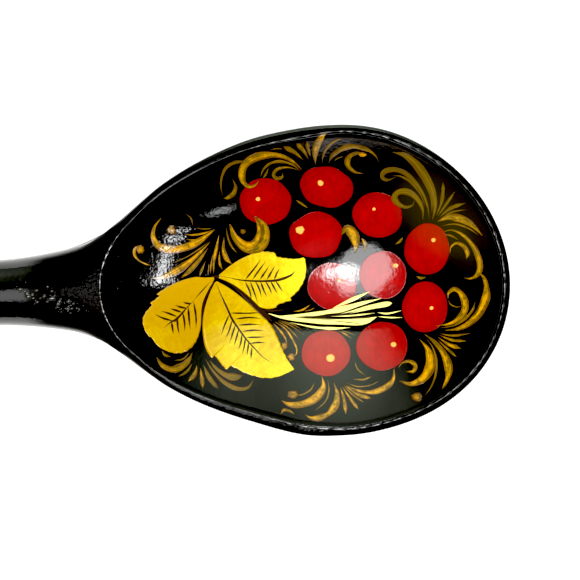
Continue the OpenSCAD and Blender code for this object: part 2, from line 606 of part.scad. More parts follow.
bottom_scroll = [
    [
        [[-3.2, -19], [-2.9, -21], [-3.8, -22.8], [-5.6, -24.1], [-8, -24.8], [-10, -24.6],
         [-11.3, -23.9]],
        1.8, 0.42
    ],
    [[[-4.6, -20.2], [-5.5, -21.8], [-7.1, -22.7], [-8.6, -22.9]], 0.4, 0.4],
    [[[-2.1, -19.6], [-1.8, -22], [-2.6, -24.2], [-4.8, -26.1]], 0.35, 0.5],
    [
        [[-0.9, -20.2], [-0.2, -22.4], [-0.4, -24.6], [-1.7, -26.4], [-3.6, -27.3], [-5.4, -27.4],
         [-6.6, -26.7]],
        1.5, 0.42
    ],
    [[[0.4, -21], [1.2, -23.6], [1.6, -26.6]], 0.8, 0.8],
    [[[0.7, -20.9], [2.4, -23.4], [4.1, -25.7]], 0.7, 0.8],
    [[[1, -20.8], [3, -22.8], [5.2, -24.3]], 0.45, 0.75],
    [[[1.2, -20.7], [3.8, -22.6], [6.7, -23.5]], 0.8, 0.78],
    [[[1.6, -20.9], [4, -21.9], [6.8, -22.2], [9.4, -21.3], [11, -19.7], [11.2, -17.4]], 1.2, 0.6],
    [[[1.5, -20.3], [4, -21.1], [6.6, -20.8], [8.2, -20]], 0.3, 0.5],
    [[[3.3, -16], [4, -17.7], [5.6, -19]], 0.3, 0.5],
    [[[2.8, -19.6], [5, -19.7], [6.8, -19.1]], 0.45, 0.6],
    [[[-11.4, -26.6], [-10.8, -25.8], [-9.6, -26], [-8.7, -26.7]], 0.65, 0.35]
];
lower_left_scroll = [
    [
        [[-36.3, -15.2], [-35.2, -16.8], [-33.2, -17.7], [-31.2, -17], [-29.8, -15.7], [-29.2, -14.4]],
        1.5, 0.48
    ],
    [[[-35.3, -13.9], [-34.6, -14.8], [-33.4, -15.2]], 0.55, 0.6],
    [[[-32.8, -15.9], [-31, -15.6], [-29.7, -14.3]], 0.35, 0.5],
    [[[-29.1, -16.4], [-30.2, -18.1], [-31.9, -19.1]], 0.5, 0.6],
    [[[-28.2, -16.8], [-28.6, -18.6], [-29.9, -20.1]], 0.95, 0.68],
    [[[-27.5, -17.4], [-27.2, -19.4], [-27, -21.5]], 0.9, 0.65],
    [[[-26.9, -16.8], [-25.8, -19.2], [-23.9, -21.6]], 1, 0.72],
    [
        [[-26.5, -15.6], [-25, -18], [-22.8, -20.2], [-20.2, -21.5], [-18, -21.3], [-16.8, -19.6]],
        0.9, 0.55
    ],
    [[[-25.7, -15.9], [-24.1, -17.7], [-22.2, -18.9], [-20.4, -19.2], [-19, -18.9]], 1.4, 0.65]
];
curls = [
    [[[-13, -8.4], [-11.5, -10], [-10.5, -11.5], [-10.2, -12.7]], 0.45, 0.4],
    [[[-12.7, -8.1], [-10.5, -9.6], [-8.9, -12], [-8.2, -14], [-8.8, -15.4]], 0.5, 0.5],
    [[[-12.1, -8], [-9.9, -9.4], [-7.6, -11.9]], 0.25, 0.4],
    [[[-11.7, -8], [-9, -9.2], [-6.3, -11.2]], 0.2, 0.4],
    [[[-12, -7.8], [-9, -8.7], [-6.8, -10]], 0.2, 0.4],
    [[[-9, -6.1], [-7.2, -5.8], [-5.5, -4.7]], 0.4, 0.6],
    [[[-6.7, -6], [-5.6, -5.8], [-4.6, -5.3]], 0.25, 0.5],
    [[[0.1, -10], [1.4, -10.6], [2.9, -11.6]], 0.3, 0.5],
    [[[0.4, -9.9], [2, -10.3], [3.7, -10.9]], 0.2, 0.5],
    [[[0.7, 9.3], [1.7, 10.4], [3, 9.4], [3.6, 7.4], [3.4, 5.6]], 2.2, 0.5],
    [[[4.7, 8.6], [5.4, 7.4], [5.3, 6]], 0.9, 0.5],
    [[[11.4, 7.3], [12.4, 8], [12.9, 8.7]], 0.6, 0.5],
    [[[15.6, 1], [16.6, 0.6], [17.6, 0.8]], 0.6, 0.5],
    [[[-8.4, 16.2], [-7.2, 15.4], [-6, 14.6]], 0.5, 0.4]
];
// Second strokes laid over the first
left_scroll_gloss = [
    [
        [[-21.5, 11.3], [-20.3, 8.9], [-18.3, 7.3], [-16.8, 7.6], [-15.9, 9.3], [-16, 11.2],
         [-16.7, 12.8]],
        1.3, 0.42
    ],
    [[[-39.4, 7.2], [-40.5, 6.6], [-40.7, 5.3], [-39.8, 4.1], [-38.4, 3.4], [-37.4, 3.1]], 0.6, 0.3]
];
top_scroll_gloss = [
    [[[4, 25.5], [4.9, 25.3], [5.8, 25.3]], 1, 0.5]
];
// Round touches at the scrolls' ends: [middle, half size along, half size across]
touches = [
    [[-33.3, 10.2], 0.85, 0.9], [[-39.5, 6.3], 0.75, 0.85], [[-19, 9.9], 0.55, 0.5],
    [[15.8, -23.2], 1.05, 0.85], [[-9, -22.7], 1.1, 0.8], [[-10.7, -13], 0.65, 0.75],
    [[-9.3, -15.2], 0.75, 0.75]
];
// Straw-coloured berry stems, and the dark lines that part them
stems = [
    [[[-1, -5.4], [2.4, -3.9], [6.4, -2.1]], 0.7, 0.6],
    [[[-11.6, -7], [-8, -6.9], [-4, -6.5], [-1, -6], [2, -5.3], [5, -4.4], [8.6, -3.5]], 1.15, 0.55],
    [[[0.4, -6.6], [3, -6.1], [6.6, -5.2], [10.8, -4.4]], 1, 0.93],
    [[[-1.4, -7.1], [3, -6.9], [7.4, -6.4]], 0.3, 0.6],
    [
        [[-13.9, -6.5], [-11.5, -7.2], [-8, -7.7], [-4, -8], [0, -8.1], [3.4, -8.2], [5.6, -8],
         [7.7, -7.2]],
        1.45, 0.78
    ],
    [[[-9.6, -8.3], [-5, -9.2], [-1, -9.5], [2.4, -9.3]], 0.5, 0.65],
    [[[7.9, -6.3], [10, -6.5], [12.7, -5.9]], 0.35, 0.5],
    [[[7.9, -7.1], [10.4, -7.3], [12.9, -7.3]], 0.3, 0.5]
];
stem_lines = [
    [[[-9, -7], [-3, -7.1], [2, -6.4], [6, -5.6]], 0.2, 0.5],
    [[[-8, -7.5], [-2, -7.6], [4, -7.4], [7.4, -6.9]], 0.25, 0.5],
    [[[-2, -7.9], [2, -8.3], [6, -8.7]], 0.15, 0.5]
];

// Lacquer lumps across the top of the neck: [s, y, half length, half width]
lumps = [
    [-62.5, -0.1, 0.9, 0.5], [-60.4, -1.2, 0.8, 0.5], [-58.8, 0.3, 0.6, 0.4],
    [-57.2, -2.6, 0.9, 0.5], [-55.6, -1.4, 0.5, 0.4], [-53.8, -3.6, 0.7, 0.5],
    [-51.8, -4.2, 0.5, 0.35]
];
// Bead along the rim's crest: its place from the hollow to the outline, and its size
bead_stations = 72;
bead_place = 0.32;
bead_half = 0.25;
bead_height = 0.2;

module carved_body() {
    color([0.03, 0.03, 0.03])
        difference() {
            seat()
                polyhedron(
                    points = concat(top_points, under_points, neck_points, handle_points, [end_point]),
                    faces = blank_faces
                );
            translate([0, 0, -bowl_width / 2])
                cube([2 * total_length, 2 * bowl_width, bowl_width], center = true);
        }
}

// A bead of lacquer that built up along the rim's crest
module rim_lacquer_bead() {
    rows = [
        for (k = [0:bead_stations - 1])
            let (
                a = -360 * k / bead_stations,
                inner = hollow_edge(a),
                outer = outline_edge((a + 360) % 360),
                middle = toward(inner, outer, rim_width * bead_place),
                across = (outer - inner) / norm(outer - inner)
            )
            [middle + across * bead_half, middle - across * bead_half]
    ];
    color([0.15, 0.15, 0.15]) film(rows, first_layer, bead_height, closed = true);
}

module neck_lacquer_lumps() {
    color([0.12, 0.12, 0.1])
        for (lump = lumps) oval([lump[0], lump[1]], lump[2], lump[3], first_layer, bead_height, 6, 2);
}

module leaf_left_lobe() {
    color([0.85, 0.68, 0.1]) lobe(left_edge_left, left_vein, left_edge_right);
}

module leaf_middle_lobe() {
    color([0.9, 0.8, 0.2]) lobe(middle_edge_left, middle_vein, middle_edge_right);
}

module leaf_right_lobe() {
    color([0.95, 0.85, 0.15]) lobe(right_edge_left, right_vein, right_edge_right);
}

module leaf_left_veins() {
    color([0.1, 0.05, 0.02]) {
        brush_stroke([left_vein_hair, 0.22, 0.4], second_layer);
        brush_stroke([left_vein_line, 0.45, 0.6], second_layer);
        side_veins([-28.9, -4.1], [-33.3, -8.1], [0.5, -5.6], [0.4, -2.7], 5);
        side_veins([-29.3, -4.6], [-33.1, -8], [-1.9, 0.4], [-3.4, 1.3], 5);
    }
}

module leaf_middle_veins() {
    color([0.1, 0.05, 0.02]) {
        brush_stroke([middle_vein_line, 0.42, 0.4], second_layer);
        side_veins([-21.5, -6.4], [-17.6, -12.5], [5.8, 0.1], [3, 0.1], 6);
        side_veins([-21.8, -6.8], [-17.2, -13.2], [-1.6, -4.2], [-0.2, -2.6], 8);
    }
}

module leaf_right_veins() {
    color([0.1, 0.05, 0.02]) {
        brush_stroke([right_vein_line, 0.5, 0.75], second_layer);
        side_veins([-18.6, 0.2], [-12.8, 0.2], [3, 3.9], [1.1, 2.3], 5);
        side_veins([-18.6, 0], [-12.5, 0], [1.3, -4.2], [1.5, -2.3], 7);
    }
}

module leaf_stalk() {
    color([0.05, 0.03, 0.02]) {
        brush_stroke([stalk, 1, 0.85], second_layer);
        brush_stroke([stalk_branch, 0.4, 0.5], second_layer);
        brush_stroke([stalk_gap, 0.5, 0.5], second_layer);
        brush_stroke([stalk_node, 0.5, 0.5], second_layer);
    }
}

module berry_stems() {
    color([0.93, 0.9, 0.6]) brush_strokes(stems, second_layer);
}

module berry_stem_lines() {
    color([0.08, 0.05, 0.02]) brush_strokes(stem_lines, third_layer);
}

module red_berries() {
    color([0.8, 0.05, 0.05])
        for (berry = berries)
            oval(berry[0], berry[1] * berry_scale, berry[2] * berry_scale, first_layer, paint_thickness);
}

module berry_dots() {
    color([1, 0.85, 0.25])
        for (berry = berries)
            oval(berry[3], berry[4] * dot_scale, berry[4] * dot_scale, second_layer, paint_thickness, 6, 2);
}

module scroll_left() {
    color([0.8, 0.6, 0.2]) {
        brush_strokes(left_scroll, second_layer);
        brush_strokes(left_scroll_gloss, third_layer);
    }
}

module scroll_top_left() {
    color([0.75, 0.6, 0.2]) brush_strokes(top_left_scroll, second_layer);
}

module scroll_top() {
    color([0.75, 0.6, 0.15]) {
        brush_strokes(top_scroll, second_layer);
        brush_strokes(top_scroll_gloss, third_layer);
    }
}

module scroll_upper_right() {
    color([0.65, 0.58, 0.12]) brush_strokes(upper_right_scroll, second_layer);
}

module scroll_right() {
    color([0.7, 0.55, 0.12]) brush_strokes(right_scroll, second_layer);
}

module scroll_lower_right() {
    color([0.8, 0.6, 0.1]) brush_strokes(lower_right_scroll, second_layer);
}

module scroll_bottom() {
    color([0.8, 0.65, 0.1]) brush_strokes(bottom_scroll, second_layer);
}

module scroll_lower_left() {
    color([0.7, 0.5, 0.1]) brush_strokes(lower_left_scroll, second_layer);
}

module scroll_curls() {
    color([0.85, 0.75, 0.3]) brush_strokes(curls, second_layer);
}

module scroll_dots() {
    color([0.8, 0.65, 0.15])
        for (touch = touches) oval(touch[0], touch[1], touch[2], third_layer, paint_thickness, 6, 2);
}

carved_body();
rim_lacquer_bead();
neck_lacquer_lumps();
leaf_left_lobe();
leaf_middle_lobe();
leaf_right_lobe();
leaf_left_veins();
leaf_middle_veins();
leaf_right_veins();
leaf_stalk();
berry_stems();
berry_stem_lines();
red_berries();
berry_dots();
scroll_left();
scroll_top_left();
scroll_top();
scroll_upper_right();
scroll_right();
scroll_lower_right();
scroll_bottom();
scroll_lower_left();
scroll_curls();
scroll_dots();
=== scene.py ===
import math
import bmesh
import bpy
import numpy as np
from mathutils import Matrix, Vector


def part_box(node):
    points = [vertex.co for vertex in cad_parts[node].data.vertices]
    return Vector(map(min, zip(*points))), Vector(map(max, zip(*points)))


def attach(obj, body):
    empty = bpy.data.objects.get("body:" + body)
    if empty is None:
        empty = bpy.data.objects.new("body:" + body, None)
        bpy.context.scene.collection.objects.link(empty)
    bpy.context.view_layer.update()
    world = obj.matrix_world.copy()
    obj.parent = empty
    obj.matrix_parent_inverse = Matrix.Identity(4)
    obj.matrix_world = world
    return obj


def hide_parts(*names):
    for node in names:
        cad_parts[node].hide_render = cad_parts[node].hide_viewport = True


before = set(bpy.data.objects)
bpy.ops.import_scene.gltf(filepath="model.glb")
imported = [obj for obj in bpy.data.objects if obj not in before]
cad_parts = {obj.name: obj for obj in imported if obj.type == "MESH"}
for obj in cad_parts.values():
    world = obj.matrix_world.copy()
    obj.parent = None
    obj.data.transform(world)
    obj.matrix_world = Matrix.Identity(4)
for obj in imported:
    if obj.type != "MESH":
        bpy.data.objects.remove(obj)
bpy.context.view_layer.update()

# The spoon's own frame, in millimetres: s runs along it from the bowl's widest section towards the tip,
# y runs across, and h is up from the rim. seat() carries it into the row frame, in metres.
MM = 0.001
BODY_LOW, BODY_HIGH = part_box("carved_body")

# Driving dimensions
BOWL_HALF = (BODY_HIGH[1] - BODY_LOW[1]) / 2 / MM
BOWL_REACH = 34.0
TOTAL_LENGTH = 200.0
HANDLE_HALF = 6.6
END_ROUNDING = 6.0
RIM_WIDTH = 2.0
HOLLOW_DEPTH = 14.5
HOLLOW_BACK = 46.6

# Hollow: a blunt egg in plan whose wall steepens towards the rim
HOLLOW_HALF = BOWL_HALF - RIM_WIDTH
HOLLOW_REACH = BOWL_REACH - RIM_WIDTH + 0.2
HOLLOW_TAPER = 0.18
HOLLOW_ROUNDNESS = 2.1
HOLLOW_WALL = 0.97
LIP_SLOPE = 60.0
LIP_ROUND = 0.45

# Lengths along the spoon
END_S = BOWL_REACH - TOTAL_LENGTH
NECK_S = -55.0
ROOT_S = -67.6
MID_S = (ROOT_S + END_S) / 2

# Station tables: [s, value]. SIDE's half widths from -48.4 to -8, and LEAN, were set by hand from what
# scratch scripts measured of the photo's silhouette, so they are measurements and not a design.
SIDE = np.array([
    [END_S, HANDLE_HALF * 0.94], [END_S + 16, HANDLE_HALF * 0.98], [MID_S, HANDLE_HALF * 0.86],
    [ROOT_S, HANDLE_HALF], [NECK_S, HANDLE_HALF * 1.22], [-48.4, 10], [-43.6, 13.1], [-39.2, 16.6],
    [-34.4, 20.2], [-27.2, 24.2], [-17.6, 28], [-8, 30.4], [0, BOWL_HALF], [8, 30.2],
])
LEAN = np.array([
    [END_S, -1.2], [ROOT_S, -0.65], [NECK_S, -0.5], [-41.5, -0.2], [-27, 0.15],
    [-17.5, 0.3], [-8, -0.1], [0, 0], [11, 0], [25.5, -0.8], [BOWL_REACH, -1.3],
])
MIDDLE = np.array([
    [END_S, -6.2], [MID_S, -6.2], [ROOT_S, -6], [NECK_S, -5.5],
    [-44, -3.9], [-34, -2.8], [-24, -2.5], [8, -2.5],
])
CROWN = np.array([
    [END_S, 5.4], [MID_S, 5.2], [ROOT_S, 6.2], [NECK_S, 6.2],
    [-48, 5], [-42, 3.6], [-34, 2.8], [-24, 2.5], [8, 2.5],
])
BELLY = np.array([
    [END_S, 5.5], [MID_S, 5.2], [ROOT_S, 6.3], [NECK_S, 7.6], [-46, 9.6],
    [-36, 12.3], [-24, 15.2], [-12, 17], [0, 17.5], [12, 17],
])

# Seating: the spoon tips back until the bowl and the handle's end touch z = 0
TIP_DROP = 2.5
END_DROP = 6.2
BOWL_LOW = TIP_DROP + 17.5
SEAT_TILT = math.atan((BOWL_LOW - END_DROP - 5.53) / (-END_S - 4))
SEAT_LIFT = BOWL_LOW - 0.25
SEAT_SHIFT = ((BOWL_REACH + END_S) * math.cos(SEAT_TILT) + (TIP_DROP + END_DROP) * math.sin(SEAT_TILT)) / 2


# ---------------------------------------------------------------- the carved surface

def hermite(a, leaving, b, arriving, t):
    """Cubic from a to b, with its slopes at both ends."""
    return (
        a * (2 * t**3 - 3 * t**2 + 1) + leaving * (t**3 - 2 * t**2 + t)
        + b * (3 * t**2 - 2 * t**3) + arriving * (t**3 - t**2)
    )


def along(table, x):
    """Smooth value of a station table at x."""
    x = np.asarray(x, float)
    last = len(table) - 1
    ahead, behind = np.minimum(last, np.arange(last + 1) + 1), np.maximum(0, np.arange(last + 1) - 1)
    slopes = (table[ahead, 1] - table[behind, 1]) / (table[ahead, 0] - table[behind, 0])
    i = np.clip(np.searchsorted(table[:, 0], x, side="right") - 1, 0, last - 1)
    step = table[i + 1, 0] - table[i, 0]
    t = np.clip((x - table[i, 0]) / step, 0, 1)
    return hermite(table[i, 1], slopes[i] * step, table[i + 1, 1], slopes[i + 1] * step, t)


def end_share(s):
    t = np.clip((END_S + END_ROUNDING - s) / END_ROUNDING, 0, 1)
    return np.sqrt(1 - t * t)


def side(s):
    """Half width of the outline."""
    s = np.asarray(s, float)
    front = BOWL_HALF * np.sqrt(np.clip(1 - (s / BOWL_REACH) ** 2, 0, 1))
    return np.where(s > 0, front, along(SIDE, s) * end_share(s))


def edge_share(s, y):
    """0 on the centre line and 1 on the outline."""
    off = y - along(LEAN, s)
    front = np.hypot(s / BOWL_REACH, off / BOWL_HALF)
    back = np.abs(off) / np.maximum(side(np.minimum(s, 0)), 0.01)
    return np.minimum(1, np.where(s > 0, front, back))


def to_bowl(s):
    t = np.clip((s + 52) / 20, 0, 1)
    return t * t * (3 - 2 * t)


def blank_top(s, y):
    power = 2 + 10 * to_bowl(s)
    rise = (1 - edge_share(s, y) ** power) ** (1 / power)
    return along(MIDDLE, s) + along(CROWN, s) * end_share(s) * rise


def blank_base(s, y):
    drop = (1 - edge_share(s, y) ** 2) ** (0.5 + 0.1 * to_bowl(s))
    return along(MIDDLE, s) - along(BELLY, s) * end_share(s) * drop


def hollow_height(s, y):
    x = np.where(s > 0, s / HOLLOW_REACH, s / HOLLOW_BACK)
    taper = np.where(s > 0, 1, 1 - HOLLOW_TAPER * x)
    u = np.sqrt(x * x + taper * ((y - along(LEAN, s)) / HOLLOW_HALF) ** 2)
    bowl = -HOLLOW_DEPTH * (1 - np.minimum(u, 1) ** HOLLOW_ROUNDNESS) ** HOLLOW_WALL
    return np.where(u < 1, bowl, LIP_SLOPE * (u - 1))


def soft_min(a, b, k):
    d = np.maximum(0, k - np.abs(a - b)) / k
    return np.minimum(a, b) - d * d * k / 4


# Hand-cut unevenness: a few seeded waves, in millimetres
WAVES = np.random.default_rng(7)
WAVE_TURN = WAVES.uniform(0, 2 * math.pi, 14)
WAVE_PHASE = WAVES.uniform(0, 2 * math.pi, 14)
WAVE_LENGTH = WAVES.uniform(4, 26, 14)
WAVE_HEIGHT = 0.0011 * WAVE_LENGTH


def relief(s, y):
    """The knife's and the lacquer's unevenness."""
    total = 0
    for turn, phase, length, height in zip(WAVE_TURN, WAVE_PHASE, WAVE_LENGTH, WAVE_HEIGHT):
        reach = s * math.cos(turn) + y * math.sin(turn)
        total = total + height * np.sin(2 * math.pi * reach / length + phase)
    return total


def top_height(s, y):
    return soft_min(blank_top(s, y), hollow_height(s, y), LIP_ROUND) + relief(s, y)


def base_height(s, y):
    return blank_base(s, y) + relief(s, y)


def seat(s, y, h):
    """Points of the spoon's frame in the row frame, in metres."""
    c, n = math.cos(SEAT_TILT), math.sin(SEAT_TILT)
    x = s * c - h * n - SEAT_SHIFT
    z = np.maximum(0, s * n + h * c + SEAT_LIFT)
    return np.stack([x, y + 0 * x, z], axis=-1) * MM


# ---------------------------------------------------------------- mesh helpers

def make_piece(name, points, faces, material, values=None):
    """A smooth mesh object, with named values per point for the shader."""
    mesh = bpy.data.meshes.new(name)
    mesh.from_pydata([tuple(p) for p in points], [], faces)
    work = bmesh.new()
    work.from_mesh(mesh)
    bmesh.ops.recalc_face_normals(work, faces=work.faces)
    work.to_mesh(mesh)
    work.free()
    for key, numbers in (values or {}).items():
        layer = mesh.attributes.new(key, "FLOAT", "POINT")
        layer.data.foreach_set("value", np.asarray(numbers, np.float32))
    mesh.shade_smooth()
    mesh.materials.append(material)
    piece = bpy.data.objects.new(name, mesh)
    bpy.context.scene.collection.objects.link(piece)
    return piece


def grid_faces(rows, columns, start=0, closed=True):
    """Quads of a grid of points laid out row by row, with each row closed into a ring or left open."""
    faces = []
    for i in range(rows - 1):
        for j in range(columns if closed else columns - 1):
            k = (j + 1) % columns
            a, b = start + i * columns, start + (i + 1) * columns
            faces.append((a + j, a + k, b + k, b + j))
    return faces


def disc_faces(rings, spokes):
    """Faces of a disc: a fan round its middle point, then its rings."""
    return [(0, 1 + j, 1 + (j + 1) % spokes) for j in range(spokes)] + grid_faces(rings, spokes, 1)


# ---------------------------------------------------------------- the carved body

SPOKES = 288
NECK_SPOKES = 36
NECK_ANGLE = math.pi * NECK_SPOKES / SPOKES
HOLLOW_ROWS = 60
LIP_ROWS = 9
SHOULDER_ROWS = 12
UNDER_ROWS = 36
RING_STEP = 1.4
RING_SIZE = 2 * NECK_SPOKES
END_RINGS = 11
LIP_BAND = 0.8


def spoke_angles():
    return 2 * math.pi * np.arange(SPOKES) / SPOKES


def hollow_edge(t):
    """Plan points on the hollow's edge."""
    c = np.cos(t)
    s = np.where(c > 0, HOLLOW_REACH * c, HOLLOW_BACK * c)
    y = along(LEAN, s) + HOLLOW_HALF * np.sin(t) / np.sqrt(np.where(c > 0, 1, 1 - HOLLOW_TAPER * c))
    return np.stack([s, y], axis=-1)


def outline_edge(t):
    """Plan points on the outline, and across the neck."""
    c = np.cos(t)
    s = np.where(c > 0, BOWL_REACH * c, -NECK_S * c / math.cos(NECK_ANGLE))
    s = np.maximum(s, NECK_S)
    y = along(LEAN, s) + side(s) * np.sign(np.sin(t))
    turn = math.pi - t
    across = along(LEAN, NECK_S) + side(NECK_S) * np.sin(np.clip(turn / NECK_ANGLE, -1, 1) * math.pi / 2)
    neck = np.abs(turn) < NECK_ANGLE
    return np.stack([np.where(neck, NECK_S, s), np.where(neck, across, y)], axis=-1)


def toward(a, b, distance):
    """Points a distance from a on the way to b."""
    gap = np.linalg.norm(b - a, axis=-1, keepdims=True)
    return a + (b - a) * np.minimum(1, distance / gap)


def ease(t, power):
    """Shares from 0 to 1 that crowd towards 1."""
    return 1 - (1 - t) ** power


def body_grid():
    """Plan rows of the top, from the middle of the hollow out to the outline."""
    t = spoke_angles()
    inner, outer = hollow_edge(t), outline_edge(t)
    rows = [inner * ease(k / HOLLOW_ROWS, 1.7) for k in range(1, HOLLOW_ROWS + 1)]
    rows += [toward(inner, outer, LIP_BAND * k / LIP_ROWS) for k in range(1, LIP_ROWS + 1)]
    lip = rows[-1]
    rows += [lip + (outer - lip) * ease(k / SHOULDER_ROWS, 2.2) for k in range(1, SHOULDER_ROWS + 1)]
    return rows


def ring_stations():
    """Stations of the handle's rings, closer together on the rounded end."""
    shaft = np.arange(NECK_S - RING_STEP, END_S + END_ROUNDING, -RING_STEP)
    turn = np.linspace(0, 0.5 * math.pi, END_RINGS + 1)[:-1]
    return np.concatenate([shaft, END_S + END_ROUNDING * (1 - np.sin(turn))])


def handle_ring(s):
    angle = 2 * math.pi * np.arange(RING_SIZE) / RING_SIZE
    y = along(LEAN, s) + side(s) * np.cos(angle)
    reach = np.where(np.sin(angle) >= 0, along(CROWN, s), along(BELLY, s)) * end_share(s)
    return seat(s + 0 * y, y, along(MIDDLE, s) + reach * np.sin(angle) + relief(s, y))


def build_body(material):
    rows = body_grid()
    outer = rows[-1]
    middle = np.zeros((1, 2))
    top_plan = np.concatenate([middle] + rows)
    inward = [outer * math.cos(0.5 * math.pi * k / UNDER_ROWS) for k in range(1, UNDER_ROWS)]
    under_plan = np.concatenate(inward + [middle])
    first_neck = (SPOKES - NECK_SPOKES) // 2
    neck_plan = outer[first_neck + 1:first_neck + NECK_SPOKES]
    parts = [seat(*top_plan.T, top_height(*top_plan.T))]
    parts += [seat(*plan.T, base_height(*plan.T)) for plan in (under_plan, neck_plan)]
    rings = [handle_ring(s) for s in ring_stations()]
    tip = seat(np.array([END_S]), along(LEAN, [END_S]), along(MIDDLE, [END_S]))
    points = np.concatenate(parts + rings + [tip])

    top_last = len(top_plan) - SPOKES
    under_start = len(top_plan)
    neck_start = under_start + len(under_plan)
    ring_start = neck_start + len(neck_plan)

    def brink(j):
        """The outline, or the neck's lower half."""
        k = j - first_neck
        return neck_start + k - 1 if 0 < k < NECK_SPOKES else top_last + j

    def neck_ring(k):
        return top_last + first_neck + k if k <= NECK_SPOKES else neck_start + RING_SIZE - k - 1

    faces = disc_faces(len(rows), SPOKES)
    for j in range(SPOKES):
        k = (j + 1) % SPOKES
        faces.append((brink(j), under_start + j, under_start + k, brink(k)))
    faces += grid_faces(UNDER_ROWS - 1, SPOKES, under_start)
    bottom = neck_start - 1
    faces += [(bottom - SPOKES + j, bottom, bottom - SPOKES + (j + 1) % SPOKES) for j in range(SPOKES)]
    for k in range(RING_SIZE):
        n = (k + 1) % RING_SIZE
        faces.append((neck_ring(k), neck_ring(n), ring_start + n, ring_start + k))
    faces += grid_faces(len(rings), RING_SIZE, ring_start)
    end_ring = len(points) - 1 - RING_SIZE
    faces += [(end_ring + k, end_ring + (k + 1) % RING_SIZE, len(points) - 1) for k in range(RING_SIZE)]
    return make_piece("spoon_body", points, faces, material)


# ---------------------------------------------------------------- films of paint

PROBE = 0.02
SINK = 0.06
CURVE_STEPS = 8
# Offsets of the layers of paint from the ground, and how far a full touch of the brush stands up
GROUND_LAYER = 0.01
SECOND_LAYER = 0.036
THIRD_LAYER = 0.06
CROWN_HEIGHT = 0.02
HAND = np.random.default_rng(11)


def lift(plan, height):
    """Points a height off the carved surface, along its normal."""
    s, y = plan[:, 0], plan[:, 1]
    h = top_height(s, y)
    rise_s = (top_height(s + PROBE, y) - h) / PROBE
    rise_y = (top_height(s, y + PROBE) - h) / PROBE
    up = height / np.sqrt(1 + rise_s**2 + rise_y**2)
    return seat(s - rise_s * up, y - rise_y * up, h + up)


def on_bowl(layout):
    """Layout points carried down to the bowl along the lines of sight from the painter's eye."""
    layout = np.asarray(layout, float) - LAYOUT_MIDDLE
    sight = (PAINTER_EYE - RIM_POINT) / np.linalg.norm(PAINTER_EYE - RIM_POINT)
    right = np.cross((-math.sin(ORNAMENT_TURN), math.cos(ORNAMENT_TURN), 0), sight)
    right /= np.linalg.norm(right)
    up = np.cross(sight, right)
    flat = RIM_POINT + LAYOUT_SCALE * (layout[:, :1] * right + layout[:, 1:] * up)
    reach = np.ones(len(flat))
    for _ in range(SIGHT_STEPS):
        point = PAINTER_EYE + (flat - PAINTER_EYE) * reach[:, None]
        reach = (PAINTER_EYE[2] - top_height(point[:, 0], point[:, 1])) / (PAINTER_EYE[2] - flat[:, 2])
    return point[:, :2]


class Film:
    """Closed touches of paint that make up one piece."""

    def __init__(self):
        self.points, self.faces = [], []
        self.values = {"across": [], "along": [], "tone": []}

    def add(self, plan, faces, crown, layer, across, lengthwise, tone):
        """One touch: its crowned face, its back just under the ground, and the edge between them."""
        start = len(self.points)
        count = len(plan)
        self.points += list(lift(plan, layer + crown)) + list(lift(plan, -SINK + 0 * crown))
        face = [tuple(start + i for i in f) for f in faces]
        back = [tuple(i + count for i in f[::-1]) for f in face]
        uses = {}
        for f in face:
            for i, j in zip(f, f[1:] + f[:1]):
                key = (min(i, j), max(i, j))
                uses[key] = uses.get(key, 0) + 1
        edge = [(i, j, j + count, i + count) for (i, j), used in uses.items() if used == 1]
        self.faces += face + back + edge
        for key, numbers in (("across", across), ("along", lengthwise), ("tone", tone)):
            numbers = np.broadcast_to(numbers, (count,))
            self.values[key] += list(numbers) * 2

    def build(self, node, material):
        piece = make_piece(node + "_paint", self.points, self.faces, material, self.values)
        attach(piece, "root")
        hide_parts(node)
        return piece


def curve(points, steps=CURVE_STEPS):
    """Smooth curve through layout points."""
    points = np.asarray(points, float)
    last = len(points) - 1
    rows = []
    for i in range(last):
        a, b = points[i], points[i + 1]
        before = b - a if i == 0 else (b - points[i - 1]) / 2
        after = b - a if i + 1 == last else (points[i + 2] - a) / 2
        rows += [hermite(a, before, b, after, k / steps) for k in range(steps)]
    rows.append(points[last])
    return np.array(rows)


def swell(t, fullest):
    """Width of a brush stroke along its length."""
    rise = np.where(t < fullest, t / fullest, (1 - t) / (1 - fullest))
    return 0.07 + 0.93 * np.sin(0.5 * math.pi * rise) ** 1.15


STROKE_COLUMNS = np.array([-1, -0.94, -0.8, -0.5, -0.18, 0.18, 0.5, 0.8, 0.94, 1])


def crown_across(u, half):
    """Profile of a touch of paint: steep at its edges and nearly level between them."""
    return np.minimum(CROWN_HEIGHT, 0.08 * half) * np.sqrt(1 - np.abs(u) ** 5)


def brush_stroke(film, mark, layer, wobble=0.05):
    """One stroke of the brush: (points, greatest width, where it is fullest, strength of the paint)."""
    points, width, fullest, tone = mark
    path = curve(points)
    count = len(path)
    t = np.linspace(0, 1, count)
    ahead = np.gradient(path, axis=0)
    across = np.stack([-ahead[:, 1], ahead[:, 0]], axis=-1) / np.linalg.norm(ahead, axis=1, keepdims=True)
    waver = sum(HAND.normal(0, wobble) * np.sin(k * math.pi * t + HAND.uniform(0, 6)) for k in (2, 3, 5, 8))
    half = width * swell(t, fullest) / 2 * (1 + waver)
    u = np.tile(STROKE_COLUMNS, count)
    columns = len(STROKE_COLUMNS)
    rows = path[:, None] + across[:, None] * (half[:, None] * STROKE_COLUMNS)[..., None]
    film.add(
        on_bowl(rows.reshape(-1, 2)), grid_faces(count, columns, closed=False),
        crown_across(u, np.repeat(half, columns)), layer, u, np.repeat(t, columns), tone,
    )


def brush_strokes(film, marks, layer):
    for mark in marks:
        brush_stroke(film, mark, layer)


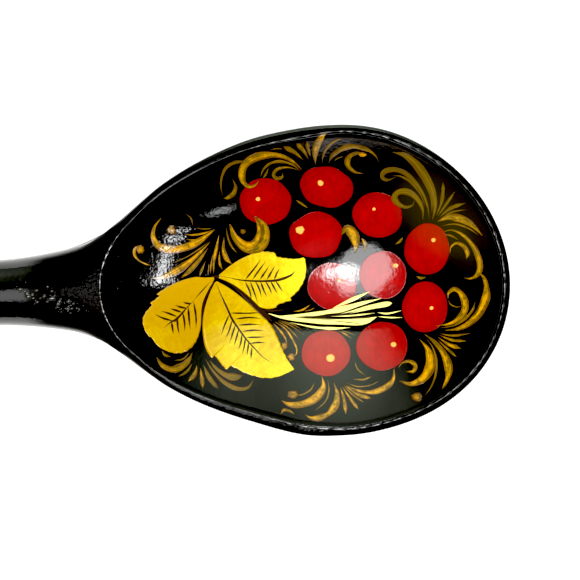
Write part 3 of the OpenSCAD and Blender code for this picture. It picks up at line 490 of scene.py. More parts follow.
def oval(film, middle, half_x, half_y, layer, tone, turn=0.0, rings=10, spokes=48, wobble=0.008):
    """An oval touch of paint: its middle, its two half sizes and the turn of the longer one."""
    a = 2 * math.pi * np.arange(spokes) / spokes
    edge = 1 + sum(HAND.normal(0, wobble) * np.sin(k * a + HAND.uniform(0, 6)) for k in (2, 3, 5, 7))
    shares = ease(np.arange(1, rings + 1) / rings, 2)
    c, n = math.cos(turn), math.sin(turn)
    x, y = half_x * np.cos(a) * edge, half_y * np.sin(a) * edge
    ring = np.stack([x * c - y * n, x * n + y * c], axis=-1)
    layout = np.concatenate([np.zeros((1, 2))] + [ring * share for share in shares]) + np.asarray(middle)
    share = np.concatenate([[0], np.repeat(shares, spokes)])
    around = np.concatenate([[0], np.tile(a / (2 * math.pi), rings)])
    crown = crown_across(share, min(half_x, half_y))
    film.add(on_bowl(layout), disc_faces(rings, spokes), crown, layer, share, around, tone)


def resample(points, count):
    """Smooth curve with its points at even distances."""
    path = curve(points, 8)
    reach = np.concatenate([[0], np.cumsum(np.linalg.norm(np.diff(path, axis=0), axis=1))])
    at = np.linspace(0, reach[-1], count)
    return np.stack([np.interp(at, reach, path[:, i]) for i in (0, 1)], axis=-1)


LOBE_COLUMNS, LOBE_ROWS = 28, 120
TOOTH_DEPTH, TOOTH_SPACING = 0.16, 0.055


def toothed(edge, vein, t):
    """The outer stretch of a leaf's edge with the small teeth of the brush."""
    outward = (edge - vein) / (np.linalg.norm(edge - vein, axis=1, keepdims=True) + 0.01)
    tooth = np.mod(t / TOOTH_SPACING, 1) * np.clip((t - 0.4) / 0.2, 0, 1) * np.clip((0.97 - t) / 0.1, 0, 1)
    return edge + outward * (TOOTH_DEPTH * tooth)[:, None]


def lobe(film, left, vein, right, tone):
    """One lobe of the leaf, from its left edge over its vein to its right edge."""
    left, vein, right = (resample(points, LOBE_ROWS) for points in (left, vein, right))
    t = np.linspace(0, 1, LOBE_ROWS)
    left, right = toothed(left, vein, t), toothed(right, vein, t)
    v = np.linspace(-1, 1, LOBE_COLUMNS)
    rows = (
        left[:, None] * (v * (v - 1) / 2)[:, None] + vein[:, None] * (1 - v * v)[:, None]
        + right[:, None] * (v * (v + 1) / 2)[:, None]
    )
    u = np.tile(v, LOBE_ROWS)
    ends = np.repeat(np.abs(2 * t - 1), LOBE_COLUMNS)
    film.add(
        on_bowl(rows.reshape(-1, 2)), grid_faces(LOBE_ROWS, LOBE_COLUMNS, closed=False),
        crown_across(np.maximum(np.abs(u), ends), 1), GROUND_LAYER, u, np.repeat(t, LOBE_COLUMNS), tone,
    )


def side_veins(film, start, end, first_reach, last_reach, count, width=0.3):
    """Side veins along a stretch of a main vein."""
    start, end = np.array(start), np.array(end)
    first_reach, last_reach = np.array(first_reach), np.array(last_reach)
    for k in range(count):
        t = k / (count - 1)
        root = start + (end - start) * t
        reach = (first_reach + (last_reach - first_reach) * t) * (1 + HAND.uniform(-0.08, 0.08))
        bend = np.array([-reach[1], reach[0]]) * HAND.uniform(-0.03, 0.06)
        brush_stroke(film, ([root, root + reach * 0.55 + bend, root + reach], width, 0.3, 1), SECOND_LAYER)


# ---------------------------------------------------------------- materials

class Shader:
    """A material with one Principled shader, and short ways to add nodes to it."""

    def __init__(self, name, roughness=0.4, metallic=0.0, coat_roughness=0.06):
        self.material = bpy.data.materials.new(name)
        self.material.use_nodes = True
        self.tree = self.material.node_tree
        self.principled = self.tree.nodes["Principled BSDF"]
        self.set("Roughness", roughness)
        self.set("Metallic", metallic)
        self.set("Coat Weight", 1.0)
        self.set("Coat Roughness", coat_roughness)
        self.set("Coat IOR", 1.52)
        self.place = self.add("ShaderNodeTexCoord").outputs["Object"]

    def set(self, socket, value):
        self.principled.inputs[socket].default_value = value

    def feed(self, socket, output):
        self.tree.links.new(output, self.principled.inputs[socket])

    def add(self, kind, inputs=None, **settings):
        node = self.tree.nodes.new(kind)
        for key, value in settings.items():
            setattr(node, key, value)
        for key, value in (inputs or {}).items():
            if isinstance(value, bpy.types.NodeSocket):
                self.tree.links.new(value, node.inputs[key])
            else:
                node.inputs[key].default_value = value
        return node

    def value(self, name):
        """A value stored with the mesh's points."""
        return self.add("ShaderNodeAttribute", attribute_name=name).outputs["Fac"]

    def stretched(self, scale):
        return self.add("ShaderNodeMapping", {"Vector": self.place, "Scale": scale}).outputs["Vector"]

    def noise(self, size, detail=2.0, roughness=0.5, vector=None):
        """Noise whose features are about `size` metres across, or of size 1 in another space."""
        inputs = {"Scale": 1 / size, "Detail": detail, "Roughness": roughness}
        inputs["Vector"] = self.place if vector is None else vector
        return self.add("ShaderNodeTexNoise", inputs).outputs["Fac"]

    def math(self, operation, a, b=0.0, c=0.0):
        return self.add("ShaderNodeMath", {0: a, 1: b, 2: c}, operation=operation).outputs[0]

    def times(self, a, b):
        return self.math("MULTIPLY", a, b)

    def scaled(self, value, factor, offset):
        """value times factor, plus offset."""
        return self.math("MULTIPLY_ADD", value, factor, offset)

    def lanes(self, lengthwise, across, tone):
        """Coordinates that run with the brush, stretched by these factors and apart for every tone."""
        return self.add("ShaderNodeCombineXYZ", {
            "X": self.times(self.value("along"), lengthwise), "Y": self.times(self.value("across"), across),
            "Z": self.times(self.value("tone"), tone),
        }).outputs[0]

    def across_edge(self, low, high):
        """0 in a touch's middle and 1 at its edges."""
        return self.ease(self.math("ABSOLUTE", self.value("across")), low, high)

    def axis(self, name, vector=None):
        """One coordinate of the place, or of another vector."""
        split = self.add("ShaderNodeSeparateXYZ", {"Vector": self.place if vector is None else vector})
        return split.outputs[name]

    def ease(self, value, low, high):
        """0 below low, 1 above high, smooth between."""
        inputs = {"Value": value, "From Min": low, "From Max": high}
        return self.add("ShaderNodeMapRange", inputs, interpolation_type="SMOOTHSTEP").outputs["Result"]

    def mix(self, share, a, b, blend="MIX"):
        inputs = {"Factor": share, 6: a, 7: b}
        return self.add("ShaderNodeMix", inputs, data_type="RGBA", blend_type=blend).outputs[2]

    def lacquer(self, worn=None):
        """The clear coat: orange peel, drag lines, settled specks, and grit where it is worn."""
        peel = self.noise(0.0007, 1.0, 0.5)
        swell_ = self.noise(0.0032, 1.0)
        drag = self.noise(1.0, 2.0, 0.6, self.stretched((60, 2300, 2300)))
        height = self.scaled(peel, PEEL_HEIGHT, self.times(swell_, SWELL_HEIGHT))
        height = self.scaled(drag, DRAG_HEIGHT, height)
        cells = {"Vector": self.place, "Scale": 1 / SPECK_SPACING, "Randomness": 1.0}
        specks = self.add("ShaderNodeTexVoronoi", cells)
        speck = self.ease(specks.outputs["Distance"], 0.11, 0.03)
        height = self.scaled(speck, SPECK_HEIGHT, height)
        if worn is not None:
            grit = self.times(self.noise(0.0008, 1.5, 0.6), worn)
            height = self.scaled(grit, GRIT_HEIGHT, height)
        bump = self.add("ShaderNodeBump", {"Height": height, "Distance": 1.0, "Strength": 1.0})
        self.feed("Coat Normal", bump.outputs["Normal"])
        return height

    def relief(self, height, strength=0.35):
        bump = self.add("ShaderNodeBump", {"Height": height, "Distance": 1.0, "Strength": strength})
        self.feed("Normal", bump.outputs["Normal"])


# The rim's plane: its normal and its distance from the origin
RIM_EDGE = seat(*np.array([[0, 40, 0], [0, 0, 30], [0, 0, 0]], dtype=float))
RIM_NORMAL = tuple(Vector(RIM_EDGE[1] - RIM_EDGE[0]).cross(Vector(RIM_EDGE[2] - RIM_EDGE[0])).normalized())
RIM_HEIGHT = Vector(RIM_NORMAL).dot(Vector(RIM_EDGE[0]))

# Heights of the lacquer's unevenness, in metres
PEEL_HEIGHT = 0.000016
SWELL_HEIGHT = 0.00001
DRAG_HEIGHT = 0.000003
SPECK_HEIGHT = 0.000012
SPECK_SPACING = 0.0021
GRIT_HEIGHT = 0.00011
PAINT_SPECULAR, GROUND_SPECULAR = 0.12, 0.06
# How far the lacquer thins where it is worn, the least of it that is left, and the crest's share of the grit
NECK_THINNING, CREST_THINNING, TIP_THINNING = 0.98, 0.72, 0.5
LEAST_COAT, CREST_GRIT = 0.03, 0.35
# Where it is worn, as depths below the rim's plane at which the wear begins and is full, in metres
CREST_BAND, NECK_CROWN, TIP_BAND = (0.0009, 0.0004), (0.0036, 0.0022), (0.0045, 0.003)


def black_lacquer():
    """Black ground under lacquer: drag lines of the brush, a faint brown where the lacquer is thick, dust."""
    m = Shader("black_lacquer", roughness=0.35)
    streak = m.noise(1.0, 4.0, 0.6, m.stretched((45, 1500, 1500)))
    cloud = m.noise(0.018, 3.0, 0.6)
    deep, warm, dusty = (0.0006, 0.0006, 0.0006, 1), (0.0035, 0.0022, 0.0008, 1), (0.006, 0.006, 0.0055, 1)
    colour = m.mix(m.ease(cloud, 0.4, 0.75), deep, warm)
    colour = m.mix(m.ease(streak, 0.6, 0.85), colour, dusty)
    m.feed("Base Color", colour)
    m.set("Specular IOR Level", GROUND_SPECULAR)
    neck, crest = worn_neck(m), near_rim(m, *CREST_BAND)
    crest = m.times(crest, m.math("SUBTRACT", 1.0, outer_shoulder(m)))
    dull = m.scaled(neck, 0.35, 0.22)
    m.feed("Roughness", m.scaled(streak, 0.25, dull))
    thin = m.scaled(crest, CREST_THINNING, m.times(neck, NECK_THINNING))
    thin = m.scaled(worn_tip(m), TIP_THINNING, thin)
    m.feed("Coat Weight", m.math("MAXIMUM", m.math("SUBTRACT", 1.0, thin), LEAST_COAT))
    m.relief(m.lacquer(m.math("MAXIMUM", neck, m.times(crest, CREST_GRIT))))
    return m.material


def worn_neck(m):
    """1 over the top of the neck, where the lacquer is thin and gritty."""
    x = m.axis("X")
    stretch = m.times(m.ease(x, 0.003, 0.008), m.ease(x, 0.026, 0.02))
    return m.times(stretch, near_rim(m, *NECK_CROWN))


def outer_shoulder(m):
    """1 on the outer side of the rim along the bowl's +y side, where the lacquer is whole."""
    facing = m.axis("Y", m.add("ShaderNodeNewGeometry").outputs["Normal"])
    return m.times(m.ease(m.axis("Y"), 0.0, 0.01), m.ease(facing, 0.08, 0.3))


def near_rim(m, low, high):
    """0 at `low` metres or more below the rim's plane, and 1 from `high` metres below it upwards."""
    up = m.add("ShaderNodeVectorMath", {0: m.place, 1: RIM_NORMAL}, operation="DOT_PRODUCT").outputs["Value"]
    return m.ease(up, RIM_HEIGHT - low, RIM_HEIGHT - high)


def worn_tip(m):
    """1 along the rim's sides at the bowl's far end, where the lacquer is drawn thin too."""
    x = m.axis("X")
    return m.times(m.ease(x, 0.08, 0.093), near_rim(m, *TIP_BAND))


def brushed_gold():
    """Gold brush strokes: dull to bright by their tone, with darker edges and streaks along the stroke."""
    m = Shader("scroll_gold", roughness=0.38, metallic=0.2)
    tone = m.value("tone")
    streak = m.noise(1.0, 3.0, 0.65, m.lanes(3.0, 3.2, 91))
    patch = m.noise(0.0013, 3.0, 0.65)
    load = m.scaled(m.ease(patch, 0.36, 0.62), 0.55, tone)
    colour = m.mix(m.ease(load, 0.8, 1.55), GOLD_DULL, GOLD_BRIGHT)
    colour = m.mix(m.times(m.ease(streak, 0.45, 0.7), tone), colour, GOLD_LIGHT)
    colour = m.mix(m.times(m.ease(streak, 0.5, 0.32), 0.75), colour, GOLD_EDGE)
    colour = m.mix(m.times(m.across_edge(0.3, 1.0), 0.8), colour, GOLD_EDGE)
    colour = m.mix(m.ease(m.value("across"), -0.2, 1.5), colour, GOLD_EDGE)
    ends = m.ease(m.math("ABSOLUTE", m.scaled(m.value("along"), 2.0, -1.0)), 0.6, 1.05)
    m.set("Specular IOR Level", PAINT_SPECULAR)
    cover = m.scaled(ends, -0.5, 1.0)
    cover = m.times(cover, m.scaled(patch, 0.7, 0.62))
    colour = m.mix(cover, BLACK_GROUND, colour)
    m.feed("Base Color", colour)
    m.feed("Roughness", m.scaled(streak, 0.3, 0.25))
    m.relief(m.scaled(streak, 0.000012, m.lacquer()))
    return m.material


GOLD_BRIGHT = (0.64, 0.32, 0.009, 1)
GOLD_DULL = (0.12, 0.092, 0.01, 1)
GOLD_LIGHT = (0.86, 0.42, 0.012, 1)
GOLD_EDGE = (0.12, 0.05, 0.006, 1)
BLACK_GROUND = (0.012, 0.008, 0.004, 1)


def leaf_gold():
    """Leaf: deeper gold at its upper lobes and at its root, lemon towards the bowl's middle and its tips,
    brushed from vein to edge; the lemon is partly the paint's own colour and partly a painted sheen.
    """
    m = Shader("leaf_gold", roughness=0.36, metallic=0.25)
    streak = m.noise(1.0, 4.0, 0.7, m.lanes(26.0, 2.4, 57))
    fleck = m.noise(0.0006, 2.0, 0.7)
    drift = m.noise(0.007, 2.0)
    # Painted sheen: tone, the place along the lobe and a slow drift set the mix from deep gold to lemon,
    # partly the paint's own tones and partly the light across the bowl's floor painted in.
    shade = m.scaled(streak, 0.7, m.scaled(drift, 0.6, m.value("tone")))
    shade = m.scaled(m.value("along"), 0.5, shade)
    colour = m.mix(m.ease(shade, 0.95, 2.05), LEAF_DEEP, LEAF_LEMON_AND_SHEEN)
    m.set("Specular IOR Level", PAINT_SPECULAR)
    colour = m.mix(m.times(m.ease(fleck, 0.5, 0.75), 0.35), colour, LEAF_SHADOW)
    colour = m.mix(m.times(m.across_edge(0.93, 1.0), 0.55), colour, LEAF_SHADOW)
    m.feed("Base Color", colour)
    m.feed("Roughness", m.scaled(streak, 0.3, 0.25))
    m.relief(m.scaled(streak, 0.00001, m.lacquer()))
    return m.material


# The leaf's deep gold and its lemon end; the lemon end is partly the paint's colour and partly painted sheen.
LEAF_DEEP = (0.5, 0.28, 0.003, 1)
LEAF_LEMON_AND_SHEEN = (0.9, 0.8, 0.02, 1)
LEAF_SHADOW = (0.36, 0.17, 0.004, 1)


def berry_red():
    """Berries: dabbed red, deeper at their rims, with a fine vertical stipple."""
    m = Shader("berry_red", roughness=0.42)
    edge = m.ease(m.value("across"), 0.55, 1.0)
    dab = m.noise(1.0, 3.0, 0.6, m.stretched((1400, 500, 900)))
    cloud = m.noise(0.003, 2.0)
    colour = m.mix(m.ease(dab, 0.35, 0.7), (0.27, 0.0004, 0.0006, 1), (0.36, 0.0008, 0.0006, 1))
    colour = m.mix(m.times(m.ease(cloud, 0.45, 0.7), 0.4), colour, (0.4, 0.0012, 0.0008, 1))
    colour = m.mix(m.times(edge, 0.5), colour, (0.19, 0.0003, 0.0006, 1))
    m.feed("Base Color", colour)
    m.set("Specular IOR Level", PAINT_SPECULAR)
    m.feed("Roughness", m.scaled(dab, 0.3, 0.3))
    m.relief(m.scaled(dab, 0.000006, m.lacquer()))
    return m.material


def flat_paint(name, colour, shadow):
    """Small touches of one colour, with brush marks along the touch and a thinner load at its edges."""
    m = Shader(name, roughness=0.4)
    load = m.noise(1.0, 3.0, 0.6, m.lanes(2.5, 2.5, 37))
    mixed = m.mix(m.ease(load, 0.5, 0.75), colour, shadow)
    m.feed("Base Color", m.mix(m.times(m.across_edge(0.6, 1.0), 0.6), mixed, shadow))
    m.set("Specular IOR Level", PAINT_SPECULAR)
    m.feed("Roughness", m.scaled(load, 0.3, 0.25))
    m.relief(m.lacquer())
    return m.material


def rim_lacquer():
    """Lacquer that gathered along the rim and on the neck: nearly clear over black, with scuffs."""
    m = Shader("rim_lacquer", roughness=0.25, coat_roughness=0.08)
    scuff = m.noise(0.0011, 4.0, 0.7)
    m.feed("Base Color", m.mix(m.ease(scuff, 0.55, 0.75), (0.004, 0.004, 0.0035, 1), (0.05, 0.05, 0.045, 1)))
    m.feed("Roughness", m.scaled(scuff, 0.4, 0.15))
    m.relief(m.scaled(scuff, 0.00004, m.lacquer()))
    return m.material


# ---------------------------------------------------------------- the ornament

# The ornament is laid out flat, in millimetres, square to a line of sight through a point of the rim's plane.
# Its points were read off a millimetre grid drawn over the photo. Its eye, turn and scale, and the camera's
# values further down, were fitted with scratch scripts.
ORNAMENT_TURN = math.radians(-1.58)
PAINTER_EYE = np.array([-16.3, 17.9, 300])
RIM_POINT = np.array([-9.84, -1.42, 0])
LAYOUT_MIDDLE = np.array([-9.6, -1.8])
LAYOUT_SCALE = 0.988
SIGHT_STEPS = 9

LEFT_LOBE = (
    [(-24.7, 0.5), (-25.7, -1.6), (-26.7, -4), (-27.3, -6.8), (-27.5, -9.4), (-28.2, -11.6), (-29.2, -13.1),
        (-30.6, -14.1), (-32.2, -14.4), (-33.8, -14.1), (-35.4, -13.4), (-36.4, -12.6)],
    [(-24.8, 0.6), (-27.6, -2.3), (-30.6, -5.6), (-33.4, -8.2), (-36, -10.2), (-37.4, -11.2)],
    [(-24.8, 0.8), (-26.8, 0.7), (-28.6, 0.8), (-31, 0.2), (-33.6, -0.9), (-36.2, -2.6), (-35.6, -2.9),
        (-37.4, -4.4), (-37.2, -4.9), (-38.5, -6.4), (-39, -8), (-38.6, -9.8), (-37.6, -11.4)],
)
MIDDLE_LOBE = (
    [(-24.3, 0), (-22.4, -1), (-20.2, -2.5), (-18, -4.3), (-16, -6.2), (-14.2, -7.9), (-13, -9.4),
        (-12, -11.6), (-11, -14), (-10, -15.9), (-8.8, -17.5)],
    [(-24.4, -0.2), (-22.6, -4.6), (-20.4, -9), (-17.6, -12.8), (-13.8, -16.2), (-11, -17.4),
        (-8.8, -17.6)],
    [(-24.6, -0.2), (-25.8, -2.8), (-26.7, -5.6), (-27.1, -8.6), (-26.9, -11.6), (-26.3, -13.9),
        (-25.2, -15.4), (-24.9, -14.6), (-23.6, -16.2), (-22.2, -17.7), (-22, -16.7), (-20.3, -17.4),
        (-18, -18.5), (-15, -19.3), (-12.4, -19.2), (-10.2, -18.4), (-8.8, -17.7)],
)
RIGHT_LOBE = (
    [(-23.8, 1.2), (-21.8, 2.9), (-20, 4.1), (-18, 5.1), (-16, 5.8), (-14, 5.8), (-12.5, 5.5), (-12.4, 4.9),
        (-10.4, 4.5), (-8.4, 4.4), (-6.9, 4.7)],
    [(-23.8, 0.9), (-20.2, 0.3), (-16.4, 0), (-12.4, 0.2), (-8.6, 1.9), (-6.6, 4.4)],
    [(-23.8, 0.6), (-21.6, -0.6), (-19.6, -2.2), (-17.8, -3.8), (-16.2, -5), (-14.2, -5.6), (-12.4, -5.3),
        (-12.2, -4.8), (-10.6, -4.2), (-9.4, -3.8), (-9.4, -3.2), (-7.8, -1.6), (-6.7, 0.6), (-6.4, 2.6),
        (-6.6, 4.2)],
)

# Berries: middle, half size along, half size across, turn, tone
BERRIES = [
    ((-14.5, 15.9), 5.2, 4.6, -0.1, 0.1), ((-2.3, 18.8), 5.3, 4.1, -0.2, 0.2),
    ((-4.4, 9.2), 5.3, 4.6, 0.1, 0.3), ((7.9, 13.2), 5, 4.5, -0.2, 0.4), ((17.8, 6.4), 4.5, 5.1, -0.1, 0.5),
    ((-1.2, -1), 4.9, 4.7, 0, 0.6), ((9, 1.2), 4.7, 4.8, 0.1, 0.7), ((17.4, -5.2), 4.5, 5.1, 0, 0.8),
    ((-2.4, -14.4), 4.9, 4.6, 0, 0.9), ((8.8, -13), 5.2, 4.8, 0.1, 1),
]
# Their dots: middle and radius, and how flat they are
DOT_FLATNESS = 0.92
DOTS = [
    ((-16, 16.4), 0.45), ((-3.5, 19.6), 0.6), ((-7.6, 10.2), 0.85), ((7.2, 14.4), 0.35),
    ((19.1, 8.2), 0.45), ((0.3, 0.1), 0.4), ((11.5, 3.1), 0.5), ((18.7, -5.4), 0.4), ((-1.5, -15.4), 0.85),
    ((11.1, -12.7), 0.55),
]

